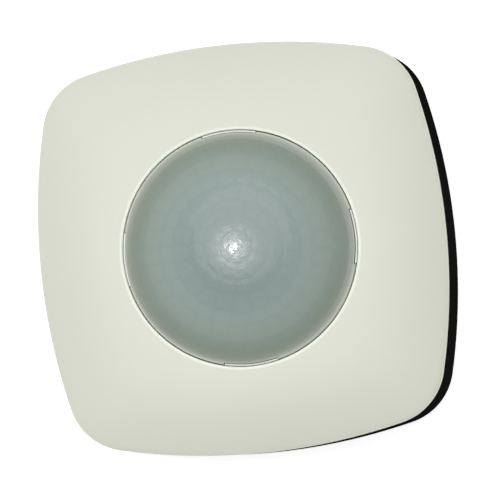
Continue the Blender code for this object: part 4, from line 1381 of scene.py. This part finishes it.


# The tone of the lens from its axis to its rim. It is partly the lens's own milky tone and partly painted
# light: a painted shaded band near the foot of the dome and a painted highlight on the rim's edge.
LENS_TONES_AND_PAINTED_LIGHT = (
    (0.000, (0.225, 0.285, 0.282)), (0.340, (0.232, 0.300, 0.289)), (0.470, (0.261, 0.330, 0.318)),
    (0.600, (0.295, 0.363, 0.346)), (0.700, (0.296, 0.363, 0.332)), (0.785, (0.283, 0.346, 0.302)),
    (0.850, (0.253, 0.303, 0.258)), (0.895, (0.258, 0.304, 0.246)), (0.924, (0.281, 0.312, 0.250)),
    (0.945, (0.244, 0.268, 0.222)), (0.962, (0.300, 0.322, 0.270)), (0.978, (0.467, 0.499, 0.425)),
    (1.000, (0.850, 0.880, 0.770)),
)
lens_skin, tree, shader = material(
    "lens_skin", roughness=0.27, Coat_Weight=0.13, Coat_Roughness=0.08, Specular_IOR_Level=0.4,
)
from_axis = off_axis(tree)
lens_tone_and_painted_light = step(tree, "ShaderNodeValToRGB", {0: from_axis / RIM_RADIUS})
ramp = lens_tone_and_painted_light.color_ramp
while len(ramp.elements) < len(LENS_TONES_AND_PAINTED_LIGHT):
    ramp.elements.new(0.5)
for stop, (where, colour) in zip(ramp.elements, LENS_TONES_AND_PAINTED_LIGHT):
    stop.position = where
    stop.color = (*colour, 1)
place = own_place(tree)
milky_tone_and_painted_light = blended(tree, noise(tree, place, 70.0, 3.0) * 0.22, lens_tone_and_painted_light, (0.33, 0.385, 0.37, 1))
# Painted shade: the lens is darker along the creases between its facets.
facet_edge_painted_shade = step(tree, "ShaderNodeMapRange", {
    "Value": step(tree, "ShaderNodeAttribute", attribute_name="facet").outputs["Fac"],
    "From Min": 0.0, "From Max": 0.45, "To Min": 0.07, "To Max": 0.0,
})
grooves = (from_axis * (2 * math.pi / GROOVE_PITCH)).sine()
ripple = noise(tree, place, 700.0)
feed(shader, {
    "Base Color": blended(tree, facet_edge_painted_shade, milky_tone_and_painted_light, (0.13, 0.17, 0.155, 1)),
    "Normal": step(tree, "ShaderNodeBump", {"Distance": 0.00006, "Height": grooves * 0.03 + ripple}),
})

plain_start = NOTCH_HALF_ANGLE + 0.002
quarter = np.concatenate((
    np.linspace(-NOTCH_HALF_ANGLE, NOTCH_HALF_ANGLE, NOTCH_STEPS),
    np.linspace(plain_start, math.pi / 2 - plain_start, PLAIN_STEPS),
))
spokes = arc(1, np.concatenate([quarter + i * math.pi / 2 for i in range(4)]))
notched = np.tile(np.arange(len(quarter)) < NOTCH_STEPS, 4)[:, None]


def rim(radius):
    """A ring of the lens at a radius, drawn in where the lugs pass."""
    return spokes * np.where(notched, min(radius, NOTCH_RADIUS), radius)


def ball_rings(ball, radii):
    """Rings on a ball of this radius under the top of the dome."""
    return [(spokes * r, ball_middle + math.sqrt(ball**2 - r**2)) for r in radii]


dome_rise = lens_high.z - DOME_FOOT
ball = (DOME_RADIUS**2 + dome_rise**2) / (2 * dome_rise)
ball_middle = lens_high.z - ball
rings = ball_rings(ball, [*np.linspace(0.0001, 0.0056, 46), *np.linspace(0.0060, DOME_RADIUS, 64)])
rings += [(rim(r), height) for r, height in (
    (0.0323, DOME_FOOT - 0.00012), (0.0331, RIM_EDGE + 0.0010), (0.0338, RIM_EDGE + 0.00075),
    (0.0341, RIM_EDGE + 0.00050), (RIM_RADIUS, RIM_EDGE + 0.0001), (RIM_RADIUS, RIM_EDGE - 0.0004),
    (RIM_RADIUS, 0.0310), (RIM_RADIUS, lens_low.z + 0.0002), (RIM_RADIUS - 0.0002, lens_low.z),
    (0.0331, lens_low.z), (0.0329, lens_low.z + 0.0002), (0.0329, 0.0340), (0.0318, 0.0350),
)]
rings += ball_rings(ball - LENS_WALL, np.linspace(0.0306, 0.0003, 24))
bm = bmesh.new()
layers(bm, rings)
lens = grown("lens_dome", facets, meshed("lens_blank", bm), lens_skin, {
    "First Ring": FACETS_FIRST, "More Each Ring": FACETS_MORE, "Bulge": FACET_BULGE,
    "Above": DOME_FOOT - 0.0005, "Gate Radius": GATE_RADIUS, "Gate Grain": GATE_GRAIN,
}, 50)
fixed(lens, "lens", "lens_plastic", "lens")

# --- Front cover ---
# The ivory cover: domed, with a collar round the lens opening and a rolled edge that meets the
# housing at a narrow joint. Four tongues under it clip past the sensor carrier.

OPENING_RADIUS = 0.03460
COVER_WALL = 0.0018
RIM_DROP = 0.0049
CROWN_POWER = 2.2
EDGE_INSET = 0.0009
EDGE_ROLL = 0.0013
COLLAR = 0.0054
LIP = 0.00045
TONGUE_OUT = 0.0565
TONGUE_HALF = 0.005
TONGUE_WALL = 0.0012
GUSSETS = 24
GUSSET_LENGTH = 0.0060
GUSSET_HEIGHT = 0.0036
GUSSET_THICKNESS = 0.0010
rim_z = cover_high.z - RIM_DROP
skirt_z = housing_top + 0.0003
inner_radius = OPENING_RADIUS + COVER_WALL
edge_outline = pillow(EDGE_INSET)
spoke = edge_outline / np.linalg.norm(edge_outline, axis=1)[:, None]

cover_ivory = moulded(
    "cover_ivory", (0.690, 0.706, 0.610), (0.665, 0.681, 0.586), patch=22, grain=2200, depth=0.000012,
    roughness=0.42, spread=0.12,
)
tree = cover_ivory.node_tree
shader = tree.nodes["Principled BSDF"]
# Painted highlight: the ivory turns paler in a thin ring round the lip of the lens opening.
lip_painted_highlight = step(tree, "ShaderNodeMapRange", {
    "Value": off_axis(tree), "From Min": OPENING_RADIUS + 0.0012, "From Max": OPENING_RADIUS + 0.0003,
    "To Min": 0.0, "To Max": 1.0,
}, interpolation_type="SMOOTHSTEP")
tone = shader.inputs["Base Color"].links[0].from_socket
feed(shader, {"Base Color": blended(tree, lip_painted_highlight, tone, (0.88, 0.90, 0.81, 1))})


def cover_rings(shares, drop=0.0):
    """Rings of the crown at these shares of the way from the opening to the edge, drop below its top."""
    return [(
        spoke * OPENING_RADIUS * (1 - share) + edge_outline * share,
        rim_z + RIM_DROP * (1 - share**CROWN_POWER) - drop,
    ) for share in shares]


rings = [(spoke * OPENING_RADIUS, cover_high.z - COLLAR)]
rings += [
    (spoke * (OPENING_RADIUS + LIP * (1 - math.cos(turn))), cover_high.z - LIP * (1 - math.sin(turn)))
    for turn in np.linspace(0, math.pi / 2, 5)
]
rings += cover_rings(np.linspace(0.04, 1.0, 30))
corner_z = rim_z - EDGE_INSET * RIM_DROP * CROWN_POWER / (half_width - OPENING_RADIUS)
roll_z = rim_z - EDGE_ROLL
rings += [
    (pillow(EDGE_INSET * (1 - t) ** 2), (1 - t) ** 2 * rim_z + 2 * t * (1 - t) * corner_z + t**2 * roll_z)
    for t in np.linspace(0.2, 1.0, 5)
]
rings += [(pillow(0), skirt_z + 0.0002), (pillow(0.0002), skirt_z), (pillow(COVER_WALL), skirt_z)]
rings += cover_rings(np.linspace(0.93, 0.12, 18), COVER_WALL)
rings += [
    (spoke * (inner_radius + 0.0006), cover_high.z - COVER_WALL - 0.0001),
    (spoke * inner_radius, cover_high.z - COVER_WALL - 0.0007),
    (spoke * inner_radius, cover_high.z - COLLAR),
]
bm = bmesh.new()
layers(bm, rings, tube=True)
tongue_in = TONGUE_OUT - TONGUE_WALL
for i in range(4):
    turn = Matrix.Rotation(i * math.pi / 2, 4, "Z")
    block(bm, (tongue_in, -TONGUE_HALF, cover_low.z), (TONGUE_OUT, TONGUE_HALF, rim_z + 0.0002), 0.0003, turn)
    block(bm, (tongue_in - 0.0006, -0.3 * TONGUE_HALF, cover_low.z + 0.0006),
          (tongue_in + 0.0003, 0.3 * TONGUE_HALF, cover_low.z + 0.0016), 0.0003, turn)
    for y in (-0.7 * TONGUE_HALF, 0.7 * TONGUE_HALF):
        block(bm, (TONGUE_OUT - 0.0042, y - 0.0004, 0.0262), (tongue_in + 0.0002, y + 0.0004, rim_z + 0.0004),
              tilt=turn)
make("cover_shell", bm, cover_ivory, "front_cover", "ivory_plastic", "front_cover")

gusset, count, radius, length, height, thickness = sprout("cover_gussets", {
    "Count": "Int", "Radius": "Float", "Length": "Float", "Height": "Float", "Thickness": "Float",
})
stops = step(gusset, "GeometryNodeMeshCircle", {"Vertices": count, "Radius": radius})
rib = step(gusset, "GeometryNodeMeshCube", {"Size": triple(gusset, length, thickness, height)})
x, _, z = position(gusset)
wedge = pushed(gusset, rib, z=(x > 0.0) * (z < 0.0) * (height * 0.8))
turn = number(gusset, "GeometryNodeInputIndex") * (2 * math.pi) / count
facing = step(gusset, "FunctionNodeEulerToRotation", {0: triple(gusset, z=turn)})
ended(gusset, repeated(gusset, stops, wedge, Rotation=facing), on_points=False)
ribs = grown("cover_gussets", gusset, dots([]), cover_ivory, {
    "Count": GUSSETS, "Radius": inner_radius + GUSSET_LENGTH / 2 - 0.0002, "Length": GUSSET_LENGTH,
    "Height": GUSSET_HEIGHT, "Thickness": GUSSET_THICKNESS,
})
ribs.data.transform(Matrix.Translation((0, 0, cover_high.z - COVER_WALL - GUSSET_HEIGHT / 2 - 0.0001)))
fixed(ribs, "front_cover", "ivory_plastic")
